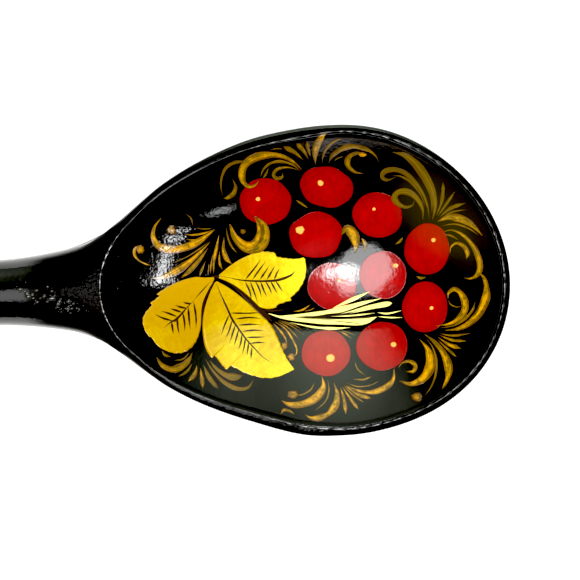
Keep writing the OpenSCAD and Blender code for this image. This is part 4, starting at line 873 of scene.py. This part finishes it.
# Strokes of the brush: points, greatest width, where it is fullest, strength of the paint
SCROLLS = {
    "scroll_left": [
        ([(-24.7, 10.3), (-26.3, 9), (-28.6, 7.5), (-31.4, 6.5), (-34, 6.3), (-36, 7.1), (-37, 8.8),
            (-36.7, 10.8), (-35.4, 12.6)], 1.7, 0.4, 1),
        ([(-25, 10.2), (-27, 9.5), (-29.2, 9.2), (-30.6, 9.4)], 0.45, 0.4, 0.7),
        ([(-25.2, 10.5), (-26.8, 10.4), (-28.4, 10.6)], 0.25, 0.5, 0.4),
        ([(-27.4, 8.5), (-29, 8.2), (-30.4, 8.3)], 0.3, 0.5, 0.6),
        ([(-30.4, 13.4), (-29.4, 12.5), (-29, 11.1)], 0.3, 0.6, 0.3),
        ([(-25.6, 7.8), (-27.5, 5.8), (-30, 3.6), (-32.5, 1.9), (-35, 0.8), (-37.3, 0.5)], 1.4, 0.62, 0.9),
        ([(-26, 6.6), (-27.6, 4.4), (-29.6, 2.1), (-31.4, 0.6)], 1, 0.65, 0.55),
        ([(-25.8, 7.9), (-28, 6.2), (-30.5, 4.7), (-33.4, 3.5)], 0.3, 0.4, 0.4),
        ([(-26.2, 6.8), (-28.6, 4.8), (-31, 3.6)], 0.25, 0.4, 0.35),
        ([(-26.5, 4), (-27.2, 2.3), (-27.7, 0.9)], 0.5, 0.6, 0.45),
        ([(-25.8, 3.6), (-25.9, 2.2), (-26, 1)], 0.25, 0.5, 0.4),
        ([(-23.8, 9.2), (-24.3, 6.6), (-24.8, 4), (-24.9, 1.5)], 0.65, 0.5, 0.95),
        ([(-25, 5.6), (-25.4, 3.2), (-25.5, 1.4)], 0.25, 0.5, 0.7),
        ([(-23.7, 6), (-23.7, 3.8), (-23.1, 2.2)], 0.5, 0.6, 0.6),
        ([(-22.8, 8.8), (-22.9, 6.4), (-22.3, 4.5), (-21.2, 3.4)], 1, 0.62, 0.75),
        ([(-22.4, 10.8), (-22, 8.6), (-21.2, 6.8), (-20.1, 5.5)], 0.45, 0.5, 0.45),
        ([(-21.7, 11.4), (-20.7, 8.6), (-18.4, 6.7), (-16.2, 6.9), (-14.8, 8.8), (-15, 11.2),
            (-16.6, 13)], 2.5, 0.58, 0.6),
    ],
    "scroll_top_left": [
        ([(-7.2, 22.2), (-8.6, 23.6), (-10.8, 24.8), (-13.4, 25.2), (-16.2, 24.8), (-18.3, 23.6),
            (-19.2, 21.9), (-19, 20), (-17.9, 18.9), (-16.6, 19.2), (-15.8, 20.1)], 1.55, 0.48, 0.9),
        ([(-7.4, 21.9), (-9, 23.2), (-11.4, 23.9), (-13.6, 23.5), (-15, 22.2),
            (-15.5, 20.8)], 0.6, 0.55, 0.6),
        ([(-13.9, 22.7), (-14.4, 21.4), (-15.1, 20.5)], 0.5, 0.6, 0.5),
        ([(-7.8, 22.1), (-9.2, 22.6), (-10.8, 22.7), (-12.3, 22.2), (-12.9, 21.2), (-12.2, 20.5),
            (-11.2, 20.8), (-11.1, 21.7)], 0.75, 0.7, 0.7),
        ([(-18.4, 23.9), (-20.6, 23.7), (-22.4, 22.6), (-23.3, 20.6), (-23.4, 18.6),
            (-23, 17)], 0.7, 0.2, 0.5),
        ([(-21.1, 20.4), (-20.5, 18.9), (-20.9, 17.5), (-22, 16.7), (-22.9, 16.5)], 1, 0.55, 0.65),
        ([(-6.9, 24.2), (-8.8, 25.8), (-10.9, 26.9)], 1, 0.8, 0.6),
        ([(-5.9, 24.4), (-7, 26.2), (-8.3, 27.5)], 1, 0.8, 0.65),
        ([(-5.5, 24.8), (-6, 26.6), (-6.2, 27.9)], 0.8, 0.7, 0.4),
        ([(-11, 26.4), (-12.4, 26.5), (-13.6, 26.2)], 0.25, 0.4, 0.25),
    ],
    "scroll_top": [
        ([(-4.5, 23.3), (-4.6, 25.4), (-4.2, 27.2), (-3.2, 28.8), (-2.3, 29.6)], 1.5, 0.5, 0.9),
        ([(-3.2, 23.5), (-2.9, 25.4), (-1.9, 27), (-0.4, 28.1), (0.9, 28.4)], 0.6, 0.5, 0.5),
        ([(-1.9, 23.6), (-1.2, 25), (0.4, 26.2), (2.2, 26.9), (4, 26.8), (6, 26.2), (7.4, 25.2),
            (8.2, 23.8)], 1.1, 0.3, 0.75),
        ([(-0.8, 24), (0, 24.6), (1.1, 24.9)], 0.3, 0.5, 0.4),
        ([(5.1, 21.5), (3.4, 21.8), (2.1, 22.9), (1.9, 24.2), (2.7, 25.2), (4.2, 25.6),
            (5.4, 25.2)], 1.1, 0.5, 0.8),
    ],
    "scroll_upper_right": [
        ([(18.9, 12.2), (19.4, 14.8), (18.9, 17.6), (17.6, 20.5), (15.8, 23.1), (13.4, 25.1),
            (10.9, 25.8)], 1.8, 0.58, 0.5),
        ([(18.3, 12.3), (17.9, 15), (16.9, 17.6), (15.2, 20), (13.2, 21.7), (11, 22.3), (9.2, 21.8),
            (8.9, 20.7), (10, 20.2), (11.5, 20.8)], 1.05, 0.58, 0.45),
        ([(17.6, 14.6), (16.5, 17.3), (14.6, 19.7), (12.6, 20.9), (10.9, 21.1)], 0.4, 0.5, 0.4),
        ([(17, 12.2), (16.9, 14.4), (15.8, 16.5), (14, 17.8), (12.2, 17.8), (11.3, 16.8), (11.9, 15.6),
            (13.4, 14.8), (14.8, 15.1), (15.3, 16)], 1.3, 0.4, 0.6),
        ([(19.6, 13), (20.6, 15.4), (21, 17.8), (21, 19.8)], 0.75, 0.65, 0.4),
        ([(19.9, 12.9), (21.6, 15.3), (23.3, 17.8)], 0.6, 0.65, 0.4),
        ([(20.2, 12.7), (22.6, 14.6), (25.5, 15.6)], 0.75, 0.65, 0.4),
        ([(20.6, 12.6), (22.8, 13.8), (25.8, 14.3)], 0.35, 0.5, 0.35),
        ([(18.8, 13.4), (18.7, 16.2), (17.7, 19.2)], 0.3, 0.5, 0.35),
    ],
    "scroll_right": [
        ([(19.8, 11.9), (22.2, 12.8), (24.6, 12.4), (26.8, 11.2), (28.9, 9.1)], 1.6, 0.42, 0.6),
        ([(20.4, 11), (23.4, 11.4), (26, 10.6), (28.1, 9.2)], 0.4, 0.5, 0.45),
        ([(20.9, 9.8), (22.8, 10.2), (25, 9.2), (27, 7), (28.1, 4.6), (28.4, 2.6), (27.8, 1.2), (26.6, 0.5),
            (25.2, 0.6)], 1.1, 0.6, 0.7),
        ([(21.4, 9.3), (22.6, 9.1), (24.1, 8.2)], 0.35, 0.5, 0.5),
        ([(22.4, 5.3), (22.6, 6.8), (23.8, 7.6), (25.2, 6.9), (25.9, 5.6), (25.7, 4.4)], 0.9, 0.8, 0.65),
        ([(27.9, 1.9), (29.2, 0.6), (29.7, -1.4), (29.5, -3.6), (28.5, -6), (26.7, -8.1), (24.2, -9.5),
            (21.4, -9.9)], 1.7, 0.52, 0.8),
        ([(22, -3.6), (22.1, -2.4), (23.3, -1.6), (24.6, -2.5), (25.4, -4.3), (25.2, -6.1), (24.1, -7.6),
            (22.2, -8.6), (19.6, -9)], 1.5, 0.52, 0.75),
        ([(22, -3.7), (22.6, -4.7), (23.8, -5.2), (24.7, -5)], 0.3, 0.5, 0.5),
        ([(27.5, -4), (26.9, -5.8), (25.4, -7.6), (23.2, -8.9), (20.4, -9.4)], 0.55, 0.4, 0.5),
    ],
    "scroll_lower_right": [
        ([(20.3, -10.5), (23, -10.9), (26.5, -10.5)], 0.5, 0.6, 0.5),
        ([(20.2, -10.8), (22.8, -11.8), (25.7, -12)], 0.65, 0.7, 0.6),
        ([(20, -11.2), (22.2, -12.7), (24.6, -13.5)], 0.85, 0.75, 0.7),
        ([(19.9, -11.7), (21.8, -13.5), (23.7, -15.2)], 0.6, 0.75, 0.5),
        ([(16.3, -11.6), (17.9, -13.6), (18.5, -16), (18, -18.2), (16.6, -19.8), (14.5, -20.6),
            (12.3, -20)], 2, 0.48, 1),
        ([(17.6, -11.4), (19, -13.4), (19.7, -16), (19.5, -18.8), (18.6, -21.2),
            (17.5, -22.8)], 0.5, 0.5, 0.5),
        ([(17.3, -10.6), (19.4, -12.3), (21.2, -14.6), (22.1, -17.2), (21.9, -19.5),
            (20.8, -21.7)], 1.6, 0.6, 0.75),
        ([(12, -17.4), (13, -16.3), (14.5, -16.1), (15.5, -17), (15, -18.1),
            (13.6, -18.1)], 0.9, 0.7, 0.75),
    ],
    "scroll_bottom": [
        ([(-3.2, -19), (-2.9, -21), (-3.8, -22.8), (-5.6, -24.1), (-8, -24.8), (-10, -24.6),
            (-11.3, -23.9)], 1.8, 0.42, 1),
        ([(-4.6, -20.2), (-5.5, -21.8), (-7.1, -22.7), (-8.6, -22.9)], 0.4, 0.4, 0.5),
        ([(-2.1, -19.6), (-1.8, -22), (-2.6, -24.2), (-4.8, -26.1)], 0.35, 0.5, 0.4),
        ([(-0.9, -20.2), (-0.2, -22.4), (-0.4, -24.6), (-1.7, -26.4), (-3.6, -27.3), (-5.4, -27.4),
            (-6.6, -26.7)], 1.5, 0.42, 0.75),
        ([(0.4, -21), (1.2, -23.6), (1.6, -26.6)], 0.8, 0.8, 0.65),
        ([(0.7, -20.9), (2.4, -23.4), (4.1, -25.7)], 0.7, 0.8, 0.7),
        ([(1, -20.8), (3, -22.8), (5.2, -24.3)], 0.45, 0.75, 0.5),
        ([(1.2, -20.7), (3.8, -22.6), (6.7, -23.5)], 0.8, 0.78, 0.65),
        ([(1.6, -20.9), (4, -21.9), (6.8, -22.2), (9.4, -21.3), (11, -19.7),
            (11.2, -17.4)], 1.2, 0.6, 0.75),
        ([(1.5, -20.3), (4, -21.1), (6.6, -20.8), (8.2, -20)], 0.3, 0.5, 0.5),
        ([(3.3, -16), (4, -17.7), (5.6, -19)], 0.3, 0.5, 0.4),
        ([(2.8, -19.6), (5, -19.7), (6.8, -19.1)], 0.45, 0.6, 0.45),
        ([(-11.4, -26.6), (-10.8, -25.8), (-9.6, -26), (-8.7, -26.7)], 0.65, 0.35, 0.65),
    ],
    "scroll_lower_left": [
        ([(-36.3, -15.2), (-35.2, -16.8), (-33.2, -17.7), (-31.2, -17), (-29.8, -15.7),
            (-29.2, -14.4)], 1.5, 0.48, 0.85),
        ([(-35.3, -13.9), (-34.6, -14.8), (-33.4, -15.2)], 0.55, 0.6, 0.6),
        ([(-32.8, -15.9), (-31, -15.6), (-29.7, -14.3)], 0.35, 0.5, 0.5),
        ([(-29.1, -16.4), (-30.2, -18.1), (-31.9, -19.1)], 0.5, 0.6, 0.55),
        ([(-28.2, -16.8), (-28.6, -18.6), (-29.9, -20.1)], 0.95, 0.68, 0.8),
        ([(-27.5, -17.4), (-27.2, -19.4), (-27, -21.5)], 0.9, 0.65, 0.8),
        ([(-26.9, -16.8), (-25.8, -19.2), (-23.9, -21.6)], 1, 0.72, 0.6),
        ([(-26.5, -15.6), (-25, -18), (-22.8, -20.2), (-20.2, -21.5), (-18, -21.3),
            (-16.8, -19.6)], 0.9, 0.55, 0.6),
        ([(-25.7, -15.9), (-24.1, -17.7), (-22.2, -18.9), (-20.4, -19.2), (-19, -18.9)], 1.4, 0.65, 0.6),
    ],
    "scroll_curls": [
        ([(-13, -8.4), (-11.5, -10), (-10.5, -11.5), (-10.2, -12.7)], 0.45, 0.4, 0.9),
        ([(-12.7, -8.1), (-10.5, -9.6), (-8.9, -12), (-8.2, -14), (-8.8, -15.4)], 0.5, 0.5, 0.9),
        ([(-12.1, -8), (-9.9, -9.4), (-7.6, -11.9)], 0.25, 0.4, 0.75),
        ([(-11.7, -8), (-9, -9.2), (-6.3, -11.2)], 0.2, 0.4, 0.5),
        ([(-12, -7.8), (-9, -8.7), (-6.8, -10)], 0.2, 0.4, 0.4),
        ([(-9, -6.1), (-7.2, -5.8), (-5.5, -4.7)], 0.4, 0.6, 0.7),
        ([(-6.7, -6), (-5.6, -5.8), (-4.6, -5.3)], 0.25, 0.5, 0.6),
        ([(0.1, -10), (1.4, -10.6), (2.9, -11.6)], 0.3, 0.5, 0.7),
        ([(0.4, -9.9), (2, -10.3), (3.7, -10.9)], 0.2, 0.5, 0.5),
        ([(0.7, 9.3), (1.7, 10.4), (3, 9.4), (3.6, 7.4), (3.4, 5.6)], 2.2, 0.5, 0.7),
        ([(4.7, 8.6), (5.4, 7.4), (5.3, 6)], 0.9, 0.5, 0.5),
        ([(11.4, 7.3), (12.4, 8), (12.9, 8.7)], 0.6, 0.5, 0.5),
        ([(15.6, 1), (16.6, 0.6), (17.6, 0.8)], 0.6, 0.5, 0.4),
        ([(-8.4, 16.2), (-7.2, 15.4), (-6, 14.6)], 0.5, 0.4, 0.6),
    ],
}
# Brighter second strokes laid over the first
GLOSSES = {
    "scroll_left": [
        ([(-21.5, 11.3), (-20.3, 8.9), (-18.3, 7.3), (-16.8, 7.6), (-15.9, 9.3), (-16, 11.2),
            (-16.7, 12.8)], 1.3, 0.42, 1),
        ([(-39.4, 7.2), (-40.5, 6.6), (-40.7, 5.3), (-39.8, 4.1), (-38.4, 3.4),
            (-37.4, 3.1)], 0.6, 0.3, 0.75),
    ],
    "scroll_top": [
        ([(4, 25.5), (4.9, 25.3), (5.8, 25.3)], 1, 0.5, 1),
    ],
}
STEMS = [
    ([(-1, -5.4), (2.4, -3.9), (6.4, -2.1)], 0.7, 0.6, 1),
    ([(-11.6, -7), (-8, -6.9), (-4, -6.5), (-1, -6), (2, -5.3), (5, -4.4), (8.6, -3.5)], 1.15, 0.55, 1),
    ([(0.4, -6.6), (3, -6.1), (6.6, -5.2), (10.8, -4.4)], 1, 0.93, 1),
    ([(-1.4, -7.1), (3, -6.9), (7.4, -6.4)], 0.3, 0.6, 0.9),
    ([(-13.9, -6.5), (-11.5, -7.2), (-8, -7.7), (-4, -8), (0, -8.1), (3.4, -8.2), (5.6, -8),
        (7.7, -7.2)], 1.45, 0.78, 1),
    ([(-9.6, -8.3), (-5, -9.2), (-1, -9.5), (2.4, -9.3)], 0.5, 0.65, 0.9),
    ([(7.9, -6.3), (10, -6.5), (12.7, -5.9)], 0.35, 0.5, 0.8),
    ([(7.9, -7.1), (10.4, -7.3), (12.9, -7.3)], 0.3, 0.5, 0.8),
]
STEM_LINES = [
    ([(-9, -7), (-3, -7.1), (2, -6.4), (6, -5.6)], 0.2, 0.5, 1),
    ([(-8, -7.5), (-2, -7.6), (4, -7.4), (7.4, -6.9)], 0.25, 0.5, 1),
    ([(-2, -7.9), (2, -8.3), (6, -8.7)], 0.15, 0.5, 1),
]
# Round touches at the scrolls' ends: middle, half sizes, strength
TOUCHES = [
    ((-33.3, 10.2), 0.85, 0.9, 0.9), ((-39.5, 6.3), 0.75, 0.85, 0.95), ((-19, 9.9), 0.55, 0.5, 0.6),
    ((15.8, -23.2), 1.05, 0.85, 0.9), ((-9, -22.7), 1.1, 0.8, 0.9), ((-10.7, -13), 0.65, 0.75, 1),
    ((-9.3, -15.2), 0.75, 0.75, 1),
]
# The leaf: its lobes with their tones, and their veins as strokes and combs of side veins. A lobe's tone
# moves its gold towards lemon, partly the paint's own tone and partly painted sheen.
LOBES = {
    "leaf_left_lobe": (LEFT_LOBE, 0.0), "leaf_middle_lobe": (MIDDLE_LOBE, 0.42),
    "leaf_right_lobe": (RIGHT_LOBE, 0.5),
}
VEINS = {
    "leaf_left_veins": ([
        ([(-25.6, -0.2), (-27.4, -2.2), (-29, -4)], 0.22, 0.4, 1),
        ([(-28.8, -3.9), (-30.2, -5.3), (-31.4, -6.7), (-32.5, -7.8), (-33.4, -8.2), (-34.8, -9.4)],
            0.45, 0.6, 1),
    ], [
        ((-28.9, -4.1), (-33.3, -8.1), (0.5, -5.6), (0.4, -2.7), 5, 0.42),
        ((-29.3, -4.6), (-33.1, -8), (-1.9, 0.4), (-3.4, 1.3), 5, 0.42),
    ]),
    "leaf_middle_veins": ([
        ([(-24.4, -0.4), (-23.4, -2.8), (-22.2, -5.4), (-21.2, -7.6), (-20, -9.4), (-18.4, -11.6),
            (-16.6, -13.6), (-14.9, -15.3), (-13.1, -16.4)], 0.42, 0.4, 1),
    ], [
        ((-21.5, -6.4), (-17.6, -12.5), (5.8, 0.1), (3, 0.1), 6, 0.36),
        ((-21.8, -6.8), (-17.2, -13.2), (-1.6, -4.2), (-0.2, -2.6), 8, 0.34),
    ]),
    "leaf_right_veins": ([
        ([(-23.6, 1), (-21.5, 0.6), (-19.5, 0.2), (-17, 0), (-14, 0), (-12, 0.2), (-10.4, 0.7), (-9.2, 1.3),
            (-8.5, 2.1)], 0.5, 0.75, 1),
    ], [
        ((-18.6, 0.2), (-12.8, 0.2), (3, 3.9), (1.1, 2.3), 5, 0.36),
        ((-18.6, 0), (-12.5, 0), (1.3, -4.2), (1.5, -2.3), 7, 0.36),
    ]),
    "leaf_stalk": ([
        ([(-24.4, 0.8), (-21.8, -0.4), (-20, -1.7), (-18, -3.5), (-16.2, -5.3), (-14.6, -6.8), (-13.2, -8)],
            1, 0.85, 1),
        ([(-15.6, -5.8), (-13.4, -6), (-10.4, -5.7)], 0.4, 0.5, 1),
        ([(-24.6, 0.4), (-25.7, -1.7), (-26.8, -4.2), (-27.2, -6.6), (-27.3, -9.4)], 0.5, 0.5, 1),
        ([(-25.1, 1), (-24.3, 0.9), (-23.5, 1)], 0.5, 0.5, 1),
    ], []),
}
# Specks of lacquer across the neck: their number, the ends of their band, how far they stray, and their sizes
SPECK_COUNT = 70
SPECK_START = np.array([-63.5, 0.2])
SPECK_END = np.array([-50.5, -4.2])
SPECK_SPREAD = (0.9, 1.0)
SPECK_SMALLEST = 0.08
SPECK_TYPICAL = 0.12
SPECK_STEEPNESS = 0.4


def build_leaf(gold, line):
    for node, (shape, tone) in LOBES.items():
        film = Film()
        lobe(film, *shape, tone)
        film.build(node, gold)
    for node, (marks, combs) in VEINS.items():
        film = Film()
        brush_strokes(film, marks, SECOND_LAYER)
        for comb in combs:
            side_veins(film, *comb)
        film.build(node, line)


def build_berries(red, yellow, straw, line):
    film = Film()
    for middle, half_x, half_y, turn, tone in BERRIES:
        oval(film, middle, half_x, half_y, GROUND_LAYER, tone, turn)
    film.build("red_berries", red)
    film = Film()
    for middle, radius in DOTS:
        oval(film, middle, radius, radius * DOT_FLATNESS, SECOND_LAYER, 1, rings=4, spokes=20, wobble=0.05)
    film.build("berry_dots", yellow)
    for node, slot, material, marks, layer in (
        ("berry_stems", "stem_straw", straw, STEMS, SECOND_LAYER),
        ("berry_stem_lines", "vein_black", line, STEM_LINES, THIRD_LAYER),
    ):
        film = Film()
        brush_strokes(film, marks, layer)
        film.build(node, material)


# How much duller the gold is on some scrolls
DULLER = {"scroll_upper_right": 0.3, "scroll_top_left": 0.2, "scroll_top": 0.3, "scroll_lower_left": 0.3}


def build_scrolls(gold):
    for node, marks in SCROLLS.items():
        film = Film()
        duller = DULLER.get(node, 0)
        marks = [(points, width, fullest, tone - duller) for points, width, fullest, tone in marks]
        brush_strokes(film, marks, SECOND_LAYER)
        brush_strokes(film, GLOSSES.get(node, []), THIRD_LAYER)
        film.build(node, gold)
    film = Film()
    for middle, half_x, half_y, tone in TOUCHES:
        oval(film, middle, half_x, half_y, THIRD_LAYER, tone, rings=4, spokes=24, wobble=0.05)
    film.build("scroll_dots", gold)


BEAD_STATIONS = 960
BEAD_HALF = 0.17
BEAD_PLACE = 0.32


def build_rim_bead(material):
    """A low ridge of lacquer along the rim's crest, thicker in some places than in others."""
    t = 2 * math.pi * np.arange(BEAD_STATIONS) / BEAD_STATIONS
    inner, outer = hollow_edge(t), outline_edge(t)
    across = (outer - inner) / np.linalg.norm(outer - inner, axis=1, keepdims=True)
    waves = (3, 7, 13, 29, 53, 89, 131, 197)
    load = sum(HAND.normal(0, 0.3) * np.sin(k * t + HAND.uniform(0, 6)) for k in waves)
    load = np.clip(load, -0.75, 1.2)
    half = BEAD_HALF * (1 + load)
    middle = toward(inner, outer, RIM_WIDTH * BEAD_PLACE)
    rows = middle[:, None] + across[:, None] * (half[:, None] * STROKE_COLUMNS)[..., None]
    columns = len(STROKE_COLUMNS)
    faces = grid_faces(BEAD_STATIONS, columns, closed=False)
    last = (BEAD_STATIONS - 1) * columns
    faces += [(last + j, last + j + 1, j + 1, j) for j in range(columns - 1)]
    u = np.tile(STROKE_COLUMNS, BEAD_STATIONS)
    crown = 0.07 * np.repeat(np.maximum(0.05, 1 + 1.3 * load), columns) * np.sqrt(1 - np.abs(u) ** 3)
    film = Film()
    film.add(rows.reshape(-1, 2), faces, crown, 0.005, u, 0, 1)
    film.build("rim_lacquer_bead", material)


def build_neck_lumps(material):
    """Specks and crumbs of lacquer that set across the top of the neck."""
    film = Film()
    for _ in range(SPECK_COUNT):
        t = HAND.beta(1.3, 1.3)
        s, y = SPECK_START + t * (SPECK_END - SPECK_START) + HAND.normal(0, SPECK_SPREAD, 2)
        half = SPECK_SMALLEST + HAND.exponential(SPECK_TYPICAL)
        blob(film, s, y, half * HAND.uniform(1, 2), half, SPECK_STEEPNESS * half)
    film.build("neck_lacquer_lumps", material)


def blob(film, s, y, half_x, half_y, height, rings=3, spokes=12):
    """A small round crumb of lacquer."""
    a = 2 * math.pi * np.arange(spokes) / spokes
    edge = 1 + sum(HAND.normal(0, 0.06) * np.sin(k * a + HAND.uniform(0, 6)) for k in (2, 3, 4))
    shares = np.arange(1, rings + 1) / rings
    ring = np.stack([half_x * np.cos(a) * edge, half_y * np.sin(a) * edge], axis=-1)
    plan = np.concatenate([np.zeros((1, 2))] + [ring * share for share in shares]) + (s, y)
    share = np.concatenate([[0], np.repeat(shares, spokes)])
    film.add(plan, disc_faces(rings, spokes), height * (1 - share**2), 0.0, share, 0, 1)


# ---------------------------------------------------------------- floor, light and camera

def floor_part(name, inner, outer, material, rings=16, spokes=96):
    """A ring of the pale sweep, flat near the spoon and curving up far from it."""
    points, faces = [], grid_faces(rings + 1, spokes)
    for i in range(rings + 1):
        reach = inner + (outer - inner) * i / rings
        rise = SWEEP_HEIGHT * max(0, (reach - SWEEP_START) / (SWEEP_END - SWEEP_START)) ** 2
        points += [(reach * math.cos(a), reach * math.sin(a), rise) for a in
                   (2 * math.pi * j / spokes for j in range(spokes))]
    if inner == 0:
        points, faces = [(0, 0, 0)] + points[spokes:], disc_faces(rings, spokes)
    part = make_piece(name, points, faces, material)
    return part


FLOOR_REACH, SWEEP_START, SWEEP_END, SWEEP_HEIGHT = 0.6, 0.95, 1.6, 0.5


def build_floor():
    """Plain pale floor; its far sweep is a backdrop only and isn't mirrored in the lacquer."""
    m = bpy.data.materials.new("floor_white")
    m.use_nodes = True
    shader = m.node_tree.nodes["Principled BSDF"]
    shader.inputs["Base Color"].default_value = (0.85, 0.85, 0.85, 1)
    shader.inputs["Roughness"].default_value = 0.9
    shader.inputs["Specular IOR Level"].default_value = 0.1
    shader.inputs["Emission Color"].default_value = (1, 1, 1, 1)
    shader.inputs["Emission Strength"].default_value = 0.3
    floor_part("floor", 0, FLOOR_REACH, m)
    sweep = floor_part("floor_sweep", FLOOR_REACH, SWEEP_END, m)
    sweep.visible_glossy = False


def aim(thing, place, target, up=(0, 0, 1)):
    """Puts a light or camera at a place, looking at a target, with its top towards up."""
    back = (Vector(place) - Vector(target)).normalized()
    right = Vector(up).cross(back).normalized()
    turn = Matrix((right, back.cross(right), back)).transposed().to_4x4()
    thing.matrix_world = Matrix.Translation(place) @ turn


def softbox(name, direction, distance, width, height, radiance, colour=(1, 1, 1), edges=(0.4, 0.4), fade=0.0):
    """A soft-edged card of light, round where it has one edge width, with sizes as tangents from the bowl."""
    bowl = Vector(RIM_MIDDLE)
    place = bowl + Vector(direction).normalized() * distance
    light = bpy.data.lights.new(name, "AREA")
    light.shape = "RECTANGLE"
    light.size, light.size_y = width * distance, height * distance
    light.energy = radiance * math.pi * light.size * light.size_y
    light.color = colour
    light.use_nodes = True
    tree = light.node_tree

    def math_node(operation, a, b=0.0):
        node = tree.nodes.new("ShaderNodeMath")
        node.operation = operation
        for socket, value in zip(node.inputs, (a, b)):
            if isinstance(value, bpy.types.NodeSocket):
                tree.links.new(value, socket)
            else:
                socket.default_value = value
        return node.outputs[0]

    parts = tree.nodes.new("ShaderNodeSeparateXYZ")
    tree.links.new(tree.nodes.new("ShaderNodeNewGeometry").outputs["Parametric"], parts.inputs[0])
    strength = math_node("MULTIPLY_ADD", parts.outputs[1], fade)
    strength.node.inputs[2].default_value = 1 - fade
    insets = [
        math_node("MULTIPLY", math_node("MULTIPLY", side, math_node("SUBTRACT", 1.0, side)), 4.0)
        for side in parts.outputs[:2]
    ]
    if len(edges) == 1:
        insets = [math_node("MAXIMUM", math_node("SUBTRACT", math_node("ADD", *insets), 1.0), 0.0)]
    for inset, edge in zip(insets, edges):
        rise = math_node("MINIMUM", math_node("DIVIDE", inset, edge), 1.0)
        strength = math_node("MULTIPLY", strength, math_node("MULTIPLY", rise, rise))
    tree.links.new(strength, tree.nodes["Emission"].inputs["Strength"])
    thing = bpy.data.objects.new(name, light)
    bpy.context.scene.collection.objects.link(thing)
    aim(thing, place, bowl)
    return thing


def build_world():
    world = bpy.data.worlds.new("studio")
    bpy.context.scene.world = world
    world.use_nodes = True
    background = world.node_tree.nodes["Background"]
    background.inputs["Color"].default_value = (1, 1, 1, 1)
    background.inputs["Strength"].default_value = 0.07


RIM_MIDDLE = seat(*RIM_POINT[:, None])[0]
EYE_OFFSET = Vector((-0.0218, 0.0193, 0.3))
VIEW_WIDTH = 0.1146
CAMERA_TURN = math.radians(1.58)


def build_camera():
    camera = bpy.data.cameras.new("camera")
    camera.sensor_width = 36
    camera.lens = camera.sensor_width * EYE_OFFSET.length / VIEW_WIDTH
    camera.clip_start = 0.01
    thing = bpy.data.objects.new("camera", camera)
    bpy.context.scene.collection.objects.link(thing)
    target = Vector(RIM_MIDDLE)
    aim(thing, target + EYE_OFFSET, target, up=(math.sin(CAMERA_TURN), math.cos(CAMERA_TURN), 0))
    bpy.context.scene.camera = thing


FILL_RADIANCE = 1.6
# The bent row of small cards whose reflections join into the long highlight
STREAK_CARDS = 10
STREAK_WIDTH, STREAK_TAPER = 0.11, 0.45
STREAK_RADIANCE, STREAK_FADE = 24, 4
STREAK_DISTANCE = 1.3


def build_lights():
    """Each softbox stands where its reflection belongs in the bowl; the fill lights paint and floor alone."""
    white, cool, green, olive = (1, 1, 1), (0.97, 0.99, 1), (0.88, 1.0, 0.8), (1.0, 0.78, 0.2)
    for name, direction, distance, width, height, radiance, colour, edges, fade in (
        ("key_core", (-0.07, -0.12, 0.99), 1.6, 0.36, 0.32, 24, white, (0.9,), 0),
        ("key_soft", (-0.25, -0.12, 0.93), 1.6, 0.74, 0.74, 7.5, white, (0.4,), 0),
        ("window", (0.05, 0.87, 0.47), 1.2, 1.4, 1.12, 3.0, green, (1.0, 0.2), 0.65),
        ("spot", (0.43, -0.79, 0.43), 1.3, 0.18, 0.13, 6, cool, (0.9,), 0),
        ("warm_wall", (-0.76, -0.58, 0.28), 1.2, 1.6, 1.0, 1.0, olive, (1.0, 1.0), 0),
    ):
        softbox(name, direction, distance, width, height, radiance, colour, edges, fade)
    for k in range(STREAK_CARDS):
        t = k / (STREAK_CARDS - 1)
        zenith, turn = math.radians(45 + 5 * t + 10 * t * t), math.radians(-6 - 42 * t)
        direction = (math.sin(zenith) * math.cos(turn), math.sin(zenith) * math.sin(turn), math.cos(zenith))
        width = STREAK_WIDTH * (1 - STREAK_TAPER * t)
        radiance = STREAK_RADIANCE - STREAK_FADE * t
        softbox(f"streak_{k}", direction, STREAK_DISTANCE, width, width, radiance, cool, (0.9,), 0)
    fill = softbox("fill", (0.1, 0.25, 0.96), 1.6, 1.6, 1.6, FILL_RADIANCE)
    fill.visible_glossy = False


def build_spoon():
    body = build_body(black_lacquer())
    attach(body, "root")
    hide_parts("carved_body")
    lacquer = rim_lacquer()
    build_rim_bead(lacquer)
    build_neck_lumps(lacquer)
    line = flat_paint("vein_black", (0.022, 0.008, 0.004, 1), (0.05, 0.02, 0.006, 1))
    build_leaf(leaf_gold(), line)
    yellow = flat_paint("dot_yellow", (0.86, 0.44, 0.1, 1), (0.66, 0.22, 0.03, 1))
    straw = flat_paint("stem_straw", (0.92, 0.87, 0.26, 1), (0.66, 0.56, 0.09, 1))
    build_berries(berry_red(), yellow, straw, line)
    build_scrolls(brushed_gold())


# Radiance that the picture shows as black
BLACK_LEVEL = 0.02

build_camera()
build_spoon()
build_floor()
build_lights()
build_world()
settings = bpy.context.scene.view_settings
settings.view_transform = "Standard"
settings.use_curve_mapping = True
settings.curve_mapping.black_level = (BLACK_LEVEL,) * 3
